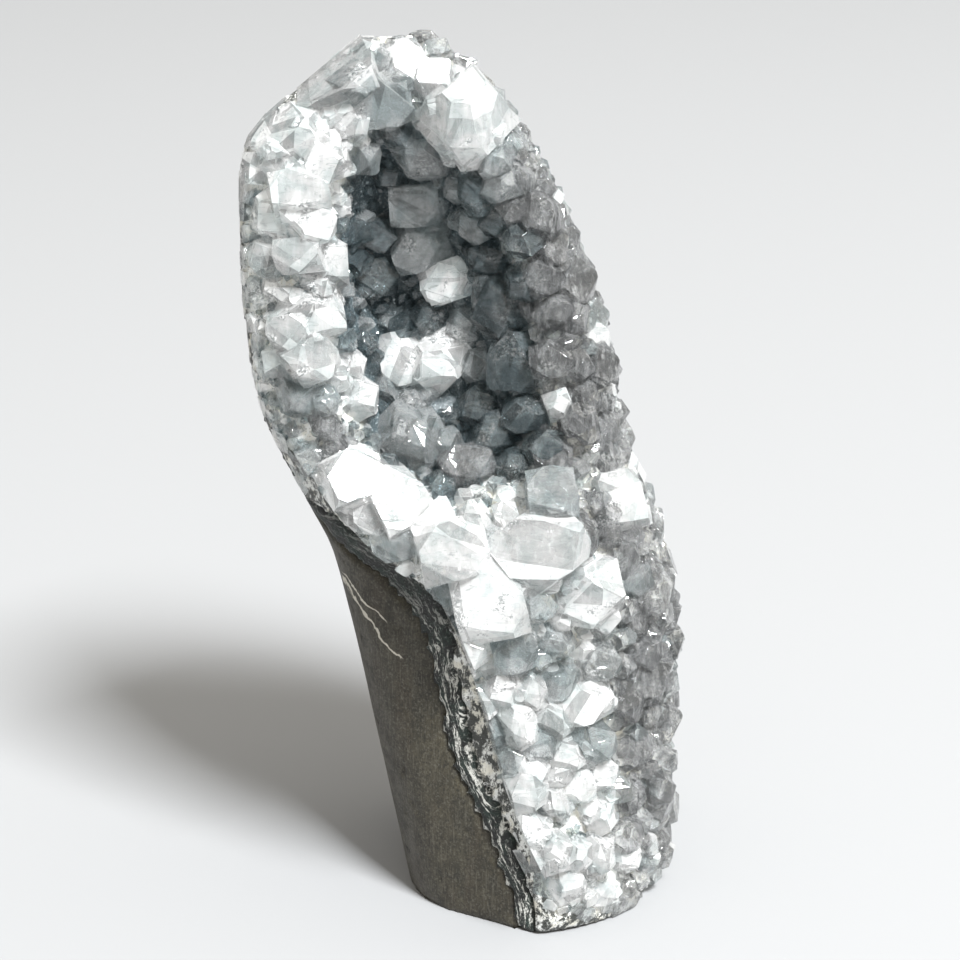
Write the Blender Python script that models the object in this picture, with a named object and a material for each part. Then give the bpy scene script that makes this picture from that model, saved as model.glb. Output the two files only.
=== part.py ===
# Apophyllite druse in a hollow of basalt, ground flat underneath to stand upright.
import math
import random

import bmesh
import bpy
from mathutils import Matrix, Vector
from mathutils.bvhtree import BVHTree

MM = 0.001
SEED = 6
# Gap between neighbouring layers, and height of the thin layers' lower edges above the surface it stands on.
LAYER_GAP = 0.3
EDGE_LIFT = 0.3

# Outer faces of the ground block, in millimetres by height above the flat underside: left edge, its front corner,
# angle and length of the cut side, corner rounding, shoulder at the back and rear face.
LEFT_EDGE = ((-6, -30), (0, -31.3), (13, -33.8), (35, -38.3), (65, -44.8), (86, -50.6), (97, -55.6), (115, -63),
             (131, -65.8), (149, -66.8), (168, -66.8), (176, -65), (184, -57.5), (193, -46), (198, -40))
LEFT_CORNER = ((-6, -22), (0, -21.6), (30, -18.3), (53, -14.1), (78, -9.8), (97, -6.5), (115, -6), (131, -4),
               (150, -2), (170, 1), (184, 5), (198, 10))
SIDE_ANGLE = ((-6, 28), (80, 28), (97, 42), (115, 55), (131, 62), (150, 66), (172, 66), (190, 60), (198, 55))
SIDE_LENGTH = ((-6, 48), (0, 46), (30, 35), (66, 31), (80, 27), (90, 15), (98, 11), (106, 9), (198, 8))
FRONT_ANGLE = 75
CORNER_RADIUS = ((-6, 20), (80, 18), (100, 11), (130, 7), (198, 5))
SHOULDER = ((-6, 3), (150, 4), (172, 10), (185, 16), (198, 12))
BACK = ((-6, 31), (0, 32), (40, 36), (90, 38), (130, 36), (155, 32), (170, 27), (183, 22), (198, 16))
BLOCK_LEVELS = (13, 35, 58, 78, 90, 102, 116, 132, 148, 162, 172, 180, 188, 196.5)

# Foot, ground to a cone that opens upwards: height, middle and reach across, middle and reach in depth.
FOOT = ((0, -8, 39.5, -2, 36.3), (14, -8, 44, -2, 41), (24, -8, 56, -2, 52), (34, -8, 90, -2, 90))
FOOT_SIDES = 36

# Crystal bed by height: middle, left reach, right edge, depth of the middle line, foremost line.
BED = (
    (-6, -18, 45, 29, -2, -46), (14, -21, 45, 29.5, -1, -42.5), (30, -26, 42, 30, 0, -38),
    (48, -31, 38, 30.5, 0.5, -32.5), (66, -35, 36, 30, 1.5, -30.5), (80, -32, 38, 27.5, 2.5, -30),
    (90, -22, 36, 24, 3, -26.5), (98, -18, 40, 20, 3.5, -24), (106, -20, 46, 17, 4, -21),
    (118, -24, 46, 16, 4.5, -18), (132, -27, 45, 13, 5.5, -15.5), (146, -30, 43, 8, 6.5, -13),
    (160, -33, 41, 3, 8, -9.5), (172, -36, 38, -3.5, 9, -6), (182, -38, 35, -10, 10.5, -2),
    (191, -41, 30, -21, 14, 3.5), (203, -46, 24, -32, 21, 11),
)
# Thickness of the crystals' common base and of the dark rind behind it, by height.
CRUST = ((-6, 4.2), (55, 4.2), (70, 5.5), (84, 8), (93, 6.5), (105, 4.5), (175, 4), (203, 3))
RIND = ((-6, 3.6), (55, 3.6), (70, 4.2), (82, 5.5), (95, 4), (120, 3), (170, 3), (203, 2))
# Hollow by height: left rim, right rim, depth.
HOLLOW = ((90, -40, 8, 0), (97, -41, 10, 3), (104, -44, 12, 13), (112, -47, 13, 21), (125, -50, 12, 27),
          (140, -52, 9, 28), (154, -51, 3, 25), (166, -49, -4, 18), (176, -45, -11, 10), (186, -40, -20, 3),
          (193, -38, -26, 0))
BED_COLUMNS = 13
TURN_LEFT, TURN_RIGHT = -75, 115

# Point of view of the drawing in which the large crystals are placed, and its middle.
VIEW_ANGLE = 22
VIEW_DISTANCE = 600
VIEW_TARGET = (-13.9, 0, 96.6)

# Large crystals as drawn: place across and up, width, height above the bed, flat share of the tip,
# lean to the right and upward in degrees, turn about the axis.
DRAWN = (
    # left rim and top
    (-35, 95, 16, 9, 1.5, -5, 8, 20), (-28, 91, 8, 8, 0.9, 5, -5, 40), (-30, 101, 7, 6, 1.2, 0, 15, 10),
    (-25.5, 99, 6, 6, 0.8, 8, 12, 30), (-40.5, 81, 17, 10, 0.2, 5, 12, 45), (-52, 80, 8, 5, 1.0, -12, 5, 10),
    (-46, 73, 9, 6, 0.6, -5, 0, 25), (-35.5, 73, 9.5, 7, 1.3, 5, -5, 15), (-27, 80, 9, 8, 0.5, 12, 0, 30),
    (-52, 71, 7, 4, 1.0, -15, 0, 0), (-41, 66, 11, 8, 1.4, 0, 0, 10), (-48, 60, 11, 6, 0.7, -8, -8, 45),
    (-30, 61, 10, 8, 0.3, 12, 0, 45), (-36, 57.5, 8, 8, 1.2, 0, 0, 20), (-42, 51, 9, 7, 1.2, -4, 4, 8),
    (-33, 49, 13, 9, 0.6, 8, 5, 35), (-50, 51, 7, 4, 1.0, -10, 0, 30), (-34, 38, 13, 9, 0.7, 10, 0, 40),
    (-44, 33, 9, 7, 1.1, -3, 0, 12), (-37, 27, 10, 8, 0.9, 0, -8, 30), (-28, 26, 7, 7, 0.9, 6, 0, 15),
    (-42, 17, 10, 8, 0.4, 0, -12, 40), (-34.5, 18, 6, 6, 0.8, 0, 0, 5), (-26, 19, 9.5, 8, 0.6, 5, 0, 20),
    (-35.5, 12, 7, 5, 0.5, 0, 0, 30), (-40, 4, 7, 4, 1.2, -8, 0, 0),
    # hollow
    (-22, 95, 7, 6, 0.4, 5, -5, 20), (-23, 86, 13, 6, 1.5, 0, 0, 8), (-19, 79, 8, 5, 0.8, 0, 0, 30),
    (-27, 71, 8, 6, 0.5, 0, 5, 20), (-21, 68, 7, 6, 0.7, 0, 0, 40), (-13, 73, 12, 8, 0.7, 5, -10, 45),
    (-15, 62, 10, 8, 1.4, 0, 0, 3), (-6.5, 65, 6, 6, 0.8, 0, 0, 25), (-1.5, 65, 9, 8, 0.8, 0, 5, 15),
    (-23, 55, 7.5, 8, 1.2, 0, 0, 5), (-14, 53, 12, 8, 1.1, 0, 0, 20), (-2, 57, 7, 6, 0.9, 0, 0, 35),
    (3.5, 66, 7, 7, 0.9, 0, 0, 20), (3, 58, 7, 6, 1.0, 0, 0, 10), (1, 50, 8, 6, 0.9, 0, 0, 28),
    (-8, 45, 10.5, 8, 1.0, 0, 4, 22), (-23, 46, 9.5, 8, 1.3, 0, 0, 2), (-12, 37, 8, 6, 0.8, 0, 0, 33),
    (-5, 35, 7, 6, 0.9, 0, 0, 12), (3, 39, 13, 9, 1.0, 0, 0, 18), (8, 43, 9.5, 9, 0.4, 0, -12, 45),
    (-18, 28, 11, 8, 1.2, 0, 0, 14), (-9.5, 27, 12.5, 9, 0.7, 0, -4, 45), (-2, 26, 7, 6, 0.9, 0, 0, 20),
    (7, 27, 12, 8, 1.6, 0, 0, 0), (-1.5, 17, 9, 7, 0.9, 0, 0, 30), (9.5, 15, 9, 8, 1.1, 0, 0, 15),
    (2, 11, 10, 7, 0.9, 0, 0, 35), (-15.5, 11.5, 16, 11, 0.7, 4, 4, 30), (-3, 4.5, 10, 8, 0.9, 0, 0, 25),
    (-9, -1, 7, 6, 0.8, 0, 0, 10), (-33, 6, 8, 3, 1.0, 0, 0, 20), (7.5, 4, 7, 5, 0.8, 0, 0, 40),
    (14, 8, 8, 7, 0.9, 0, 0, 5),
    # right rim
    (-16, 96, 9, 5, 1.4, 0, 10, 12), (-10, 92.5, 8, 5, 1.1, 5, 8, 30), (-3, 81, 17, 11, 0.7, 8, -4, 40),
    (3, 87, 9, 7, 0.9, 5, 5, 20), (7, 83.5, 7, 5, 0.8, 8, 0, 35), (8.5, 77, 8, 6, 0.7, 5, 0, 10),
    (2.5, 71.5, 6, 6, 0.9, 0, 0, 25), (13, 75, 7, 5, 0.7, 8, 0, 40), (10.5, 69, 7, 7, 0.3, 0, 8, 20),
    (16.5, 67.5, 7, 5, 0.9, 5, 0, 15), (14.5, 60, 10, 8, 0.9, 0, 0, 30), (20.5, 60, 8, 6, 0.8, 5, 0, 8),
    (9, 54, 8, 7, 0.7, 0, 0, 38), (17.5, 53.5, 7.5, 6, 1.1, 0, 0, 12), (23, 54, 6, 5, 0.7, 5, 0, 30),
    (14.5, 46, 8, 6, 0.9, 0, 0, 25), (22, 46, 11, 7, 1.0, 4, 0, 5), (17, 38, 8, 6, 0.8, 0, 0, 35),
    (23, 37.5, 7.5, 6, 0.7, 0, 0, 15), (28, 35, 7, 6, 0.6, 5, 0, 28), (16, 27, 8.5, 7, 1.0, 0, 0, 10),
    (22, 26, 6.5, 6, 0.8, 0, 0, 30), (28, 26, 8.5, 7, 0.9, 0, 0, 20), (31, 19, 8, 6, 1.1, 3, 0, 8),
    (24.5, 19, 6.5, 5, 0.7, 0, 0, 40), (18, 17, 6, 6, 0.7, 0, 0, 20), (23, 12.5, 8.5, 8, 0.6, 6, 0, 18),
    (30, 11.5, 8, 6, 0.9, 3, 0, 32), (16.5, 6, 8, 6, 1.2, 0, 0, 4), (31.5, 5, 9, 6, 1.3, 0, 0, 15),
    # shelf
    (-27, 2, 13, 7, 1.5, 0, 8, 10), (-18, -4, 14, 8, 1.4, 0, 5, 22), (-31, -7, 9, 5, 1.2, -5, 0, 35),
    (-24, -9, 8, 5, 1.1, 0, 0, 5), (-19.5, -14.5, 9, 5, 1.3, -5, -5, 15), (-11, -9, 9, 7, 1.1, 0, 0, 30),
    (-6, -16, 14, 9, 1.4, 0, 0, 12), (-1, -8.5, 8, 6, 1.0, 0, 5, 28), (6, -8, 6, 5, 0.9, 0, 5, 10),
    (3, -14, 7, 5, 0.9, 0, 0, 40), (16.5, -2.5, 11, 9, 1.5, 0, 0, 6), (33, -4.5, 12, 9, 1.75, 2, 0, 2),
    (14, -15, 18, 9, 1.3, 0, 4, 35), (24, -13, 8, 7, 0.9, 5, 0, 20), (30, -12, 7, 6, 0.8, 0, 0, 30),
    (36, -13, 8, 6, 1.0, 5, 0, 12),
    # slope
    (9.5, -22.5, 6, 5, 0.8, 0, 0, 15), (2, -28, 17, 10, 1.6, -5, 4, 12), (13, -29, 8, 7, 0.9, 0, 0, 38),
    (25.5, -28, 14, 9, 0.9, 0, -12, 8), (-8.5, -27, 8, 5, 1.0, -8, 0, 25), (-8, -34, 6.5, 4, 0.8, -5, 0, 5),
    (-3, -40, 8.5, 7, 1.0, 0, 0, 20), (8, -39, 10, 6, 1.2, 0, 0, 8), (18, -37, 8, 6, 0.8, 0, 0, 30),
    (28, -42, 8, 7, 0.9, 0, 0, 15), (18.5, -46, 8.5, 6, 1.2, 0, 0, 35), (39, -24, 12, 7, 1.1, 3, 0, 10),
    (43, -32, 9, 7, 0.6, 3, -5, 25), (35.5, -33, 7, 5, 0.9, 0, 0, 40), (39, -45, 13, 8, 1.0, 3, 0, 18),
    (5.5, -48, 8, 6, 1.0, 0, 0, 30), (12.5, -48.5, 7, 6, 0.9, 0, 0, 12), (15, -58, 20, 11, 1.35, 0, 4, 30),
    (25, -50.5, 11, 8, 1.3, 3, 3, 10), (27, -59.5, 9, 8, 0.9, 4, 0, 25), (2.5, -58, 6.5, 5, 0.8, 0, 0, 5),
    (7, -64, 7, 5, 0.9, 0, 0, 20), (-1.5, -52.5, 8, 6, 0.9, -5, 0, 35), (-6, -45, 8, 4, 1.3, -8, 0, 10),
    (34, -53, 7, 6, 0.8, 0, 0, 28), (42, -56, 10, 7, 1.1, 3, 0, 8), (37, -61, 8, 6, 0.7, 0, 0, 35),
    (42, -65, 7, 6, 0.8, 3, 0, 15), (11, -71, 10, 7, 1.0, 0, 0, 22), (18, -73, 7, 6, 0.8, 0, 5, 40),
    (23, -70, 7, 6, 1.0, 0, 0, 8), (28.5, -67, 6.5, 6, 0.9, 0, 0, 30), (28.5, -76, 8.5, 7, 0.5, 0, 6, 22),
    (35.5, -71.5, 8, 7, 0.5, 0, 5, 20), (41, -71.5, 7.5, 7, 1.3, 3, 0, 5), (41.5, -78, 8, 5, 1.0, 3, 0, 25),
    (38, -83, 7, 6, 0.9, 0, 0, 35), (3, -72, 7, 4, 1.2, -5, 0, 15), (12, -80, 8, 5, 1.0, 0, 0, 30),
    # foot
    (18, -84, 8.5, 7, 0.4, 0, 12, 10), (23, -85, 7, 7, 0.4, 0, 10, 35), (28, -85, 8.5, 8, 0.4, 0, 12, 20),
    (33.5, -86, 7.5, 5, 0.8, 0, 0, 40), (12, -88, 8, 5, 1.0, 0, 0, 12), (20, -92, 8, 5, 0.9, 0, 0, 28),
)
# Crystals that fill the spaces between those: distance to the next one, width and height share,
# on the front and round the right side.
FILL_APART = (9.4, 11.5)
FILL_WIDTH = ((6, 8.5), (8, 11))
FILL_REACH = ((0.45, 0.7), (0.22, 0.36))
SIDE_TURN = 75


def along(table, z, column=1):
    """Value of a table column at height z, on a smooth curve through its rows."""
    rows = [(row[0], row[column]) for row in table]
    if z <= rows[0][0]:
        return rows[0][1]
    if z >= rows[-1][0]:
        return rows[-1][1]
    i = max(k for k in range(len(rows) - 1) if rows[k][0] <= z)
    slopes = [(b[1] - a[1]) / (b[0] - a[0]) for a, b in zip(rows, rows[1:])]

    def tangent(k):
        if k == 0 or k == len(rows) - 1:
            return slopes[min(k, len(slopes) - 1)]
        before, after = slopes[k - 1], slopes[k]
        return 0 if before * after <= 0 else 2 * before * after / (before + after)

    (z0, v0), (z1, v1) = rows[i], rows[i + 1]
    span = z1 - z0
    t = (z - z0) / span
    return (v0 * (1 + 2 * t) * (1 - t) ** 2 + tangent(i) * span * t * (1 - t) ** 2
            + v1 * t * t * (3 - 2 * t) + tangent(i + 1) * span * t * t * (t - 1))


def ease(t):
    t = min(max(t, 0.0), 1.0)
    return t * t * (3 - 2 * t)


def mesh_object(name, points, faces):
    mesh = bpy.data.meshes.new(name)
    mesh.from_pydata([Vector(p) * MM for p in points], [], faces)
    made = bpy.data.objects.new(name, mesh)
    bpy.context.scene.collection.objects.link(made)
    return made


def as_guide(made):
    """Marks a body that only shapes others."""
    made.hide_render = True
    made.display_type = "WIRE"
    return made


def loft(name, rings):
    """Closed body of flat triangles through rings of equally many points, capped flat at both ends."""
    count = len(rings[0])
    points = [point for ring in rings for point in ring]
    faces = [tuple(reversed(range(count))), tuple(range(len(points) - count, len(points)))]
    for level in range(len(rings) - 1):
        low, high = level * count, (level + 1) * count
        for k in range(count):
            n = (k + 1) % count
            faces += [(low + k, low + n, high + n), (low + k, high + n, high + k)]
    return mesh_object(name, points, faces)


def rounded(corner, before, after, radius, steps):
    """Arc that replaces the corner of a polygon."""
    corner, before, after = Vector(corner), Vector(before), Vector(after)
    toward, away = (before - corner).normalized(), (after - corner).normalized()
    half = toward.angle(away) / 2
    radius = min(radius, 0.45 * math.tan(half) * min((before - corner).length, (after - corner).length))
    reach = radius / math.tan(half)
    middle = corner + (toward + away).normalized() * radius / math.sin(half)
    start, end = corner + toward * reach - middle, corner + away * reach - middle
    sweep = start.angle_signed(end)
    turns = [-sweep * k / steps for k in range(steps + 1)]
    return [middle + Matrix.Rotation(turn, 2) @ start for turn in turns]


def block_ring(z):
    """Plan of the ground block at height z; its front and right lie clear of the crystals."""
    left, corner = along(LEFT_EDGE, z), along(LEFT_CORNER, z)
    angle, back = math.radians(along(SIDE_ANGLE, z)), along(BACK, z)
    right = along(BED, z, 3) + 8
    side = along(SIDE_LENGTH, z)
    side_end = (left + side * math.cos(angle), corner - side * math.sin(angle))
    steep = math.radians(FRONT_ANGLE)
    far_front = (side_end[0] + 80 * math.cos(steep), side_end[1] - 80 * math.sin(steep))
    front_left, back_left = (left, corner), (left + along(SHOULDER, z), back - 6)
    back_right, far_right = (right, back - 5), (right + 70, far_front[1])
    spine = ((back_left[0] + back_right[0]) / 2 - 4, back)
    plan = [Vector(far_right), Vector(far_front), Vector(side_end)]
    plan += rounded(front_left, side_end, back_left, along(CORNER_RADIUS, z), 6)
    plan += rounded(back_left, front_left, spine, 18, 6)
    plan += rounded(spine, back_left, back_right, 70, 3)
    plan += rounded(back_right, spine, far_right, 14, 4)
    return [(p.x, p.y, z) for p in reversed(plan)]


def foot_ring(middle_x, reach_x, middle_y, reach_y, z):
    turns = [math.tau * k / FOOT_SIDES for k in range(FOOT_SIDES)]
    return [(middle_x + reach_x * math.cos(t), middle_y + reach_y * math.sin(t), z) for t in turns]


def ground_block(name, bottom):
    """Everything inside the sawn and ground outer faces, down to height bottom."""
    block = loft(name, [block_ring(z) for z in (bottom,) + BLOCK_LEVELS])
    foot = [foot_ring(*row[1:], row[0]) for row in FOOT]
    foot = [foot_ring(*FOOT[0][1:], -5)] + foot + [foot_ring(-8, 130, -2, 130, 230)]
    combine(block, as_guide(loft(name + "_foot", foot)), "INTERSECT")
    return block


def combine(body, other, how):
    """Boolean of two bodies, or of a body and a whole collection of crystals."""
    step = body.modifiers.new(how.lower(), "BOOLEAN")
    step.operation = how
    step.solver = "EXACT"
    if isinstance(other, bpy.types.Collection):
        step.operand_type = "COLLECTION"
        step.collection = other
        step.use_self = True
    else:
        step.object = other
    bpy.context.view_layer.update()
    graph = bpy.context.evaluated_depsgraph_get()
    shaped = bpy.data.meshes.new_from_object(body.evaluated_get(graph))
    body.modifiers.clear()
    body.data = shaped


def hollow_depth(x, z, inset):
    """How far the hollow lies behind the front of the druse; a wider one for surfaces deeper in the rock."""
    z += inset * min(max((140 - z) / 30, -1), 1)
    left, right = along(HOLLOW, z, 1) - inset, along(HOLLOW, z, 2) + inset
    across = (x - left) / (right - left)
    return along(HOLLOW, z, 3) * ease(across / 0.27) * (1 - ease((across - 0.42) / 0.58))


def bed_point(turn, z, inset):
    """Point of the crystal bed's surface, or of a surface that lies inset behind it."""
    middle, left, right = along(BED, z, 1), along(BED, z, 2), along(BED, z, 3)
    depth, front = along(BED, z, 4), along(BED, z, 5)
    reach = max(right - middle - inset, 2) if turn > 0 else left
    bulge = max(depth - front - inset, 2)
    x = middle + reach * math.sin(math.radians(turn))
    y = front + inset + bulge * (1 - math.cos(math.radians(turn)))
    lump = 0.9 * math.sin(turn * 0.21 + z * 0.13) * math.sin(turn * 0.11 - z * 0.19 + 1)
    return Vector((x, y + hollow_depth(x, z, inset) + lump, z))


def bed_turns():
    step = (TURN_RIGHT - TURN_LEFT) / (BED_COLUMNS - 1)
    return [TURN_LEFT + step * k for k in range(BED_COLUMNS)]


def rock_behind(name, layers, gap=0.0):
    """All that lies behind the bed's surface moved back by the given layers, and by an even gap on top."""
    rings = []
    for z in [row[0] for row in BED]:
        inset = sum(along(layer, z) for layer in layers)
        front = [bed_point(turn, z, inset) for turn in bed_turns()]
        rings.append([Vector((front[0].x, 75, z))] + front + [Vector((front[-1].x, 75, z))])
    moved = []
    for level, ring in enumerate(rings):
        under, over = rings[max(level - 1, 0)], rings[min(level + 1, len(rings) - 1)]
        shifted = []
        for k, point in enumerate(ring):
            along_ring = ring[min(k + 1, len(ring) - 1)] - ring[max(k - 1, 0)]
            outward = along_ring.cross(over[k] - under[k]).normalized()
            if level in (0, len(rings) - 1):
                outward.z = 0
            shifted.append(point - outward * gap * 1.25)
        moved.append(shifted)
    return as_guide(loft(name, moved))


def drawing_ray(across, up):
    """Eye point and direction through a place in the drawing."""
    tilt = math.radians(VIEW_ANGLE)
    forward, upward = Vector((0, math.cos(tilt), -math.sin(tilt))), Vector((0, math.sin(tilt), math.cos(tilt)))
    eye = Vector(VIEW_TARGET) - forward * VIEW_DISTANCE
    direction = forward * VIEW_DISTANCE + Vector((1, 0, 0)) * across + upward * up
    return eye, direction.normalized(), upward


def crystal_hull(width, length, flat):
    """Corner points of one upright crystal: a square prism whose corners are cut by the faces of its pyramid."""
    r, slope = width / 2, 1.15
    flat = min(flat, 1.9) * r
    top = length
    low = top - (2 * r - flat) * slope
    low = max(low, top * 0.2)
    points = [(sx * r, sy * r, 0) for sx in (-1, 1) for sy in (-1, 1)]
    points += [(sx * r, sy * r, low) for sx in (-1, 1) for sy in (-1, 1)]
    if flat <= r:
        middle = max(top - (r - flat) * slope, low)
        points += [(r, 0, middle), (-r, 0, middle), (0, r, middle), (0, -r, middle)]
        points += [(flat, 0, top), (-flat, 0, top), (0, flat, top), (0, -flat, top)]
    else:
        cut = flat - r
        points += [(sx * r, sy * cut, top) for sx in (-1, 1) for sy in (-1, 1)]
        points += [(sx * cut, sy * r, top) for sx in (-1, 1) for sy in (-1, 1)]
    return [Vector(p) for p in points]


def add_crystal(group, root, axis, spin, width, reach, flat):
    """One closed crystal rooted deep in the bed and standing reach above it."""
    sunk = 2.5 + width * 0.15
    stand = axis.to_track_quat("Z", "Y").to_matrix() @ Matrix.Rotation(math.radians(spin), 3, "Z")
    form = bmesh.new()
    for point in crystal_hull(width, reach + sunk, flat):
        form.verts.new((root + stand @ (point - Vector((0, 0, sunk)))) * MM)
    bmesh.ops.remove_doubles(form, verts=form.verts, dist=0.00001)
    bmesh.ops.convex_hull(form, input=form.verts)
    bmesh.ops.dissolve_limit(form, angle_limit=math.radians(1), verts=form.verts, edges=form.edges)
    mesh = bpy.data.meshes.new("crystal")
    form.to_mesh(mesh)
    form.free()
    made = as_guide(bpy.data.objects.new("crystal", mesh))
    group.objects.link(made)


def bed_tree():
    """The bed's surface for finding where crystals root."""
    points, faces = [], []
    turns = bed_turns()
    for z in [row[0] for row in BED]:
        points += [bed_point(turn, z, 0) for turn in turns]
    for row in range(len(BED) - 1):
        for k in range(len(turns) - 1):
            a = row * len(turns) + k
            faces.append((a, a + 1, a + 1 + len(turns), a + len(turns)))
    return BVHTree.FromPolygons(points, faces), points


def drawn_crystal(group, tree, points, row):
    """Seats one crystal so that its tip is seen at its place in the drawing."""
    across, up, width, reach, flat, lean_right, lean_up, spin = row
    eye, look, upward = drawing_ray(across, up)
    place, normal, _, _ = tree.ray_cast(eye, look)
    if place is None:
        edge = [p for p in points if 6 < p.z < 197]
        root = min(edge, key=lambda p: (p - eye).cross(look).length)
        beside = eye + look * (root - eye).dot(look)
        normal = ((beside - root).normalized() + Vector((0.2, -0.4, 0))).normalized()
        place = beside - normal * reach * 0.5
    if normal.dot(look) > 0:
        normal = -normal
    axis = (normal * 0.55 - look * 0.6).normalized()
    axis += Vector((1, 0, 0)) * math.tan(math.radians(lean_right)) + upward * math.tan(math.radians(lean_up))
    axis.normalize()
    tip = place - look * (reach * -axis.dot(look))
    add_crystal(group, tip - axis * reach, axis, spin, width, reach, flat)
    return place


def scattered(group, tree, taken, chance):
    """Smaller crystals over the rest of the bed, down to its foot and round its side."""
    for z in range(6, 195, 8):
        for turn in range(TURN_LEFT + 8, TURN_RIGHT, 12):
            place = bed_point(turn + chance.uniform(-4, 4), z + chance.uniform(-3, 3), 0)
            _, normal, _, _ = tree.find_nearest(place)
            beside = int(turn > SIDE_TURN)
            if min((place - other).length for other in taken) < FILL_APART[beside]:
                continue
            width = chance.uniform(*FILL_WIDTH[beside])
            reach = width * chance.uniform(*FILL_REACH[beside])
            sway = Vector([chance.uniform(-0.3, 0.3) for _ in range(3)])
            add_crystal(group, place, (normal + sway).normalized(), chance.uniform(0, 90), width, reach,
                        chance.choice((0.3, 0.8, 1.3)))
            taken.append(place)


def largest_body(made):
    """Drops chips and closed pockets that the cutting left apart from the main body."""
    form = bmesh.new()
    form.from_mesh(made.data)
    rest, bodies = set(form.verts), []
    while rest:
        body, edge = set(), [rest.pop()]
        while edge:
            vert = edge.pop()
            body.add(vert)
            for link in vert.link_edges:
                other = link.other_vert(vert)
                if other in rest:
                    rest.remove(other)
                    edge.append(other)
        bodies.append(body)
    main = max(bodies, key=len)
    bmesh.ops.delete(form, geom=[v for body in bodies if body is not main for v in body], context="VERTS")
    form.to_mesh(made.data)
    form.free()


def finish(made, name, color, roughness):
    largest_body(made)
    made.name = name
    made.data.name = name
    made.hide_render = False
    made.display_type = "TEXTURED"
    material = bpy.data.materials.new(name)
    material.use_nodes = True
    shader = material.node_tree.nodes["Principled BSDF"]
    shader.inputs["Base Color"].default_value = (*color, 1)
    shader.inputs["Roughness"].default_value = roughness
    shader.inputs["Metallic"].default_value = 0
    made.data.materials.clear()
    made.data.materials.append(material)


def build():
    for old in list(bpy.data.objects):
        bpy.data.objects.remove(old)

    basalt = ground_block("basalt", 0)
    combine(basalt, rock_behind("behind_rind", (CRUST, RIND), LAYER_GAP), "INTERSECT")

    rind = ground_block("rind", EDGE_LIFT)
    combine(rind, rock_behind("behind_crust", (CRUST,), LAYER_GAP), "INTERSECT")
    combine(rind, rock_behind("inside_rind", (CRUST, RIND)), "DIFFERENCE")

    tree, points = bed_tree()
    group = bpy.data.collections.new("crystals")
    bpy.context.scene.collection.children.link(group)
    chance = random.Random(SEED)
    taken = [drawn_crystal(group, tree, points, row) for row in DRAWN]
    scattered(group, tree, taken, chance)
    druse = rock_behind("druse", ())
    combine(druse, group, "UNION")
    combine(druse, as_guide(ground_block("druse_limit", EDGE_LIFT)), "INTERSECT")
    combine(druse, rock_behind("inside_druse", (CRUST,)), "DIFFERENCE")

    finish(basalt, "basalt_matrix", (0.09, 0.08, 0.065), 0.55)
    finish(rind, "celadonite_rind", (0.03, 0.045, 0.04), 0.6)
    finish(druse, "crystal_crust", (0.72, 0.76, 0.76), 0.15)


build()
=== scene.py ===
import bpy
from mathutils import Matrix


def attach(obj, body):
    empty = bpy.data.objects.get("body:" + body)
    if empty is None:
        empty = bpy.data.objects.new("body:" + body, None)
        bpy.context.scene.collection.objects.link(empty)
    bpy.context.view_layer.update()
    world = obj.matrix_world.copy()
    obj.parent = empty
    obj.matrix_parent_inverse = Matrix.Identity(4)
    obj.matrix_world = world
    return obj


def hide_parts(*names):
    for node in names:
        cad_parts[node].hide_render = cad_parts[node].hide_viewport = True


bl_info = {
    "name": "Apophyllite druse",
    "version": (1, 0, 0),
    "blender": (4, 5, 0),
    "location": "3D View > Sidebar > Druse",
    "description": "Crystals, rind and ground basalt of an upright apophyllite druse, built on its solid model",
    "category": "Add Mesh",
}

import math
import random

import bmesh
import bpy
import numpy as np
from mathutils import Matrix, Vector, noise
from mathutils.bvhtree import BVHTree

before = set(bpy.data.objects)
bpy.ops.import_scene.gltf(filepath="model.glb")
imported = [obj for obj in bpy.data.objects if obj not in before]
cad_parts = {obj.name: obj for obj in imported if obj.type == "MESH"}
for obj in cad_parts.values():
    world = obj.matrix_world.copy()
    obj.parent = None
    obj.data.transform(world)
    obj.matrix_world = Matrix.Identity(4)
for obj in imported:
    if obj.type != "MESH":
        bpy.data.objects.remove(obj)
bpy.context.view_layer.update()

MM = 0.001
LAYER_GAP = 0.3
EDGE_LIFT = 0.3

# Outer faces of the ground block, in millimetres by height above the flat underside: left edge, its front corner,
# angle and length of the cut side, corner rounding, shoulder at the back and rear face.
LEFT_EDGE = ((-6, -30), (0, -31.3), (13, -33.8), (35, -38.3), (65, -44.8), (86, -50.6), (97, -55.6), (115, -63),
             (131, -65.8), (149, -66.8), (168, -66.8), (176, -65), (184, -57.5), (193, -46), (198, -40))
LEFT_CORNER = ((-6, -22), (0, -21.6), (30, -18.3), (53, -14.1), (78, -9.8), (97, -6.5), (115, -6), (131, -4),
               (150, -2), (170, 1), (184, 5), (198, 10))
SIDE_ANGLE = ((-6, 28), (80, 28), (97, 42), (115, 55), (131, 62), (150, 66), (172, 66), (190, 60), (198, 55))
SIDE_LENGTH = ((-6, 48), (0, 46), (30, 35), (66, 31), (80, 27), (90, 15), (98, 11), (106, 9), (198, 8))
FRONT_ANGLE = 75
CORNER_RADIUS = ((-6, 20), (80, 18), (100, 11), (130, 7), (198, 5))
SHOULDER = ((-6, 3), (150, 4), (172, 10), (185, 16), (198, 12))
BACK = ((-6, 31), (0, 32), (40, 36), (90, 38), (130, 36), (155, 32), (170, 27), (183, 22), (198, 16))

# Foot, ground to a cone that opens upwards: height, middle and reach across, middle and reach in depth.
FOOT_POINTS = 90
FOOT = ((0, -8, 39.5, -2, 36.3), (14, -8, 44, -2, 41), (24, -8, 56, -2, 52), (34, -8, 90, -2, 90))

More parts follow.
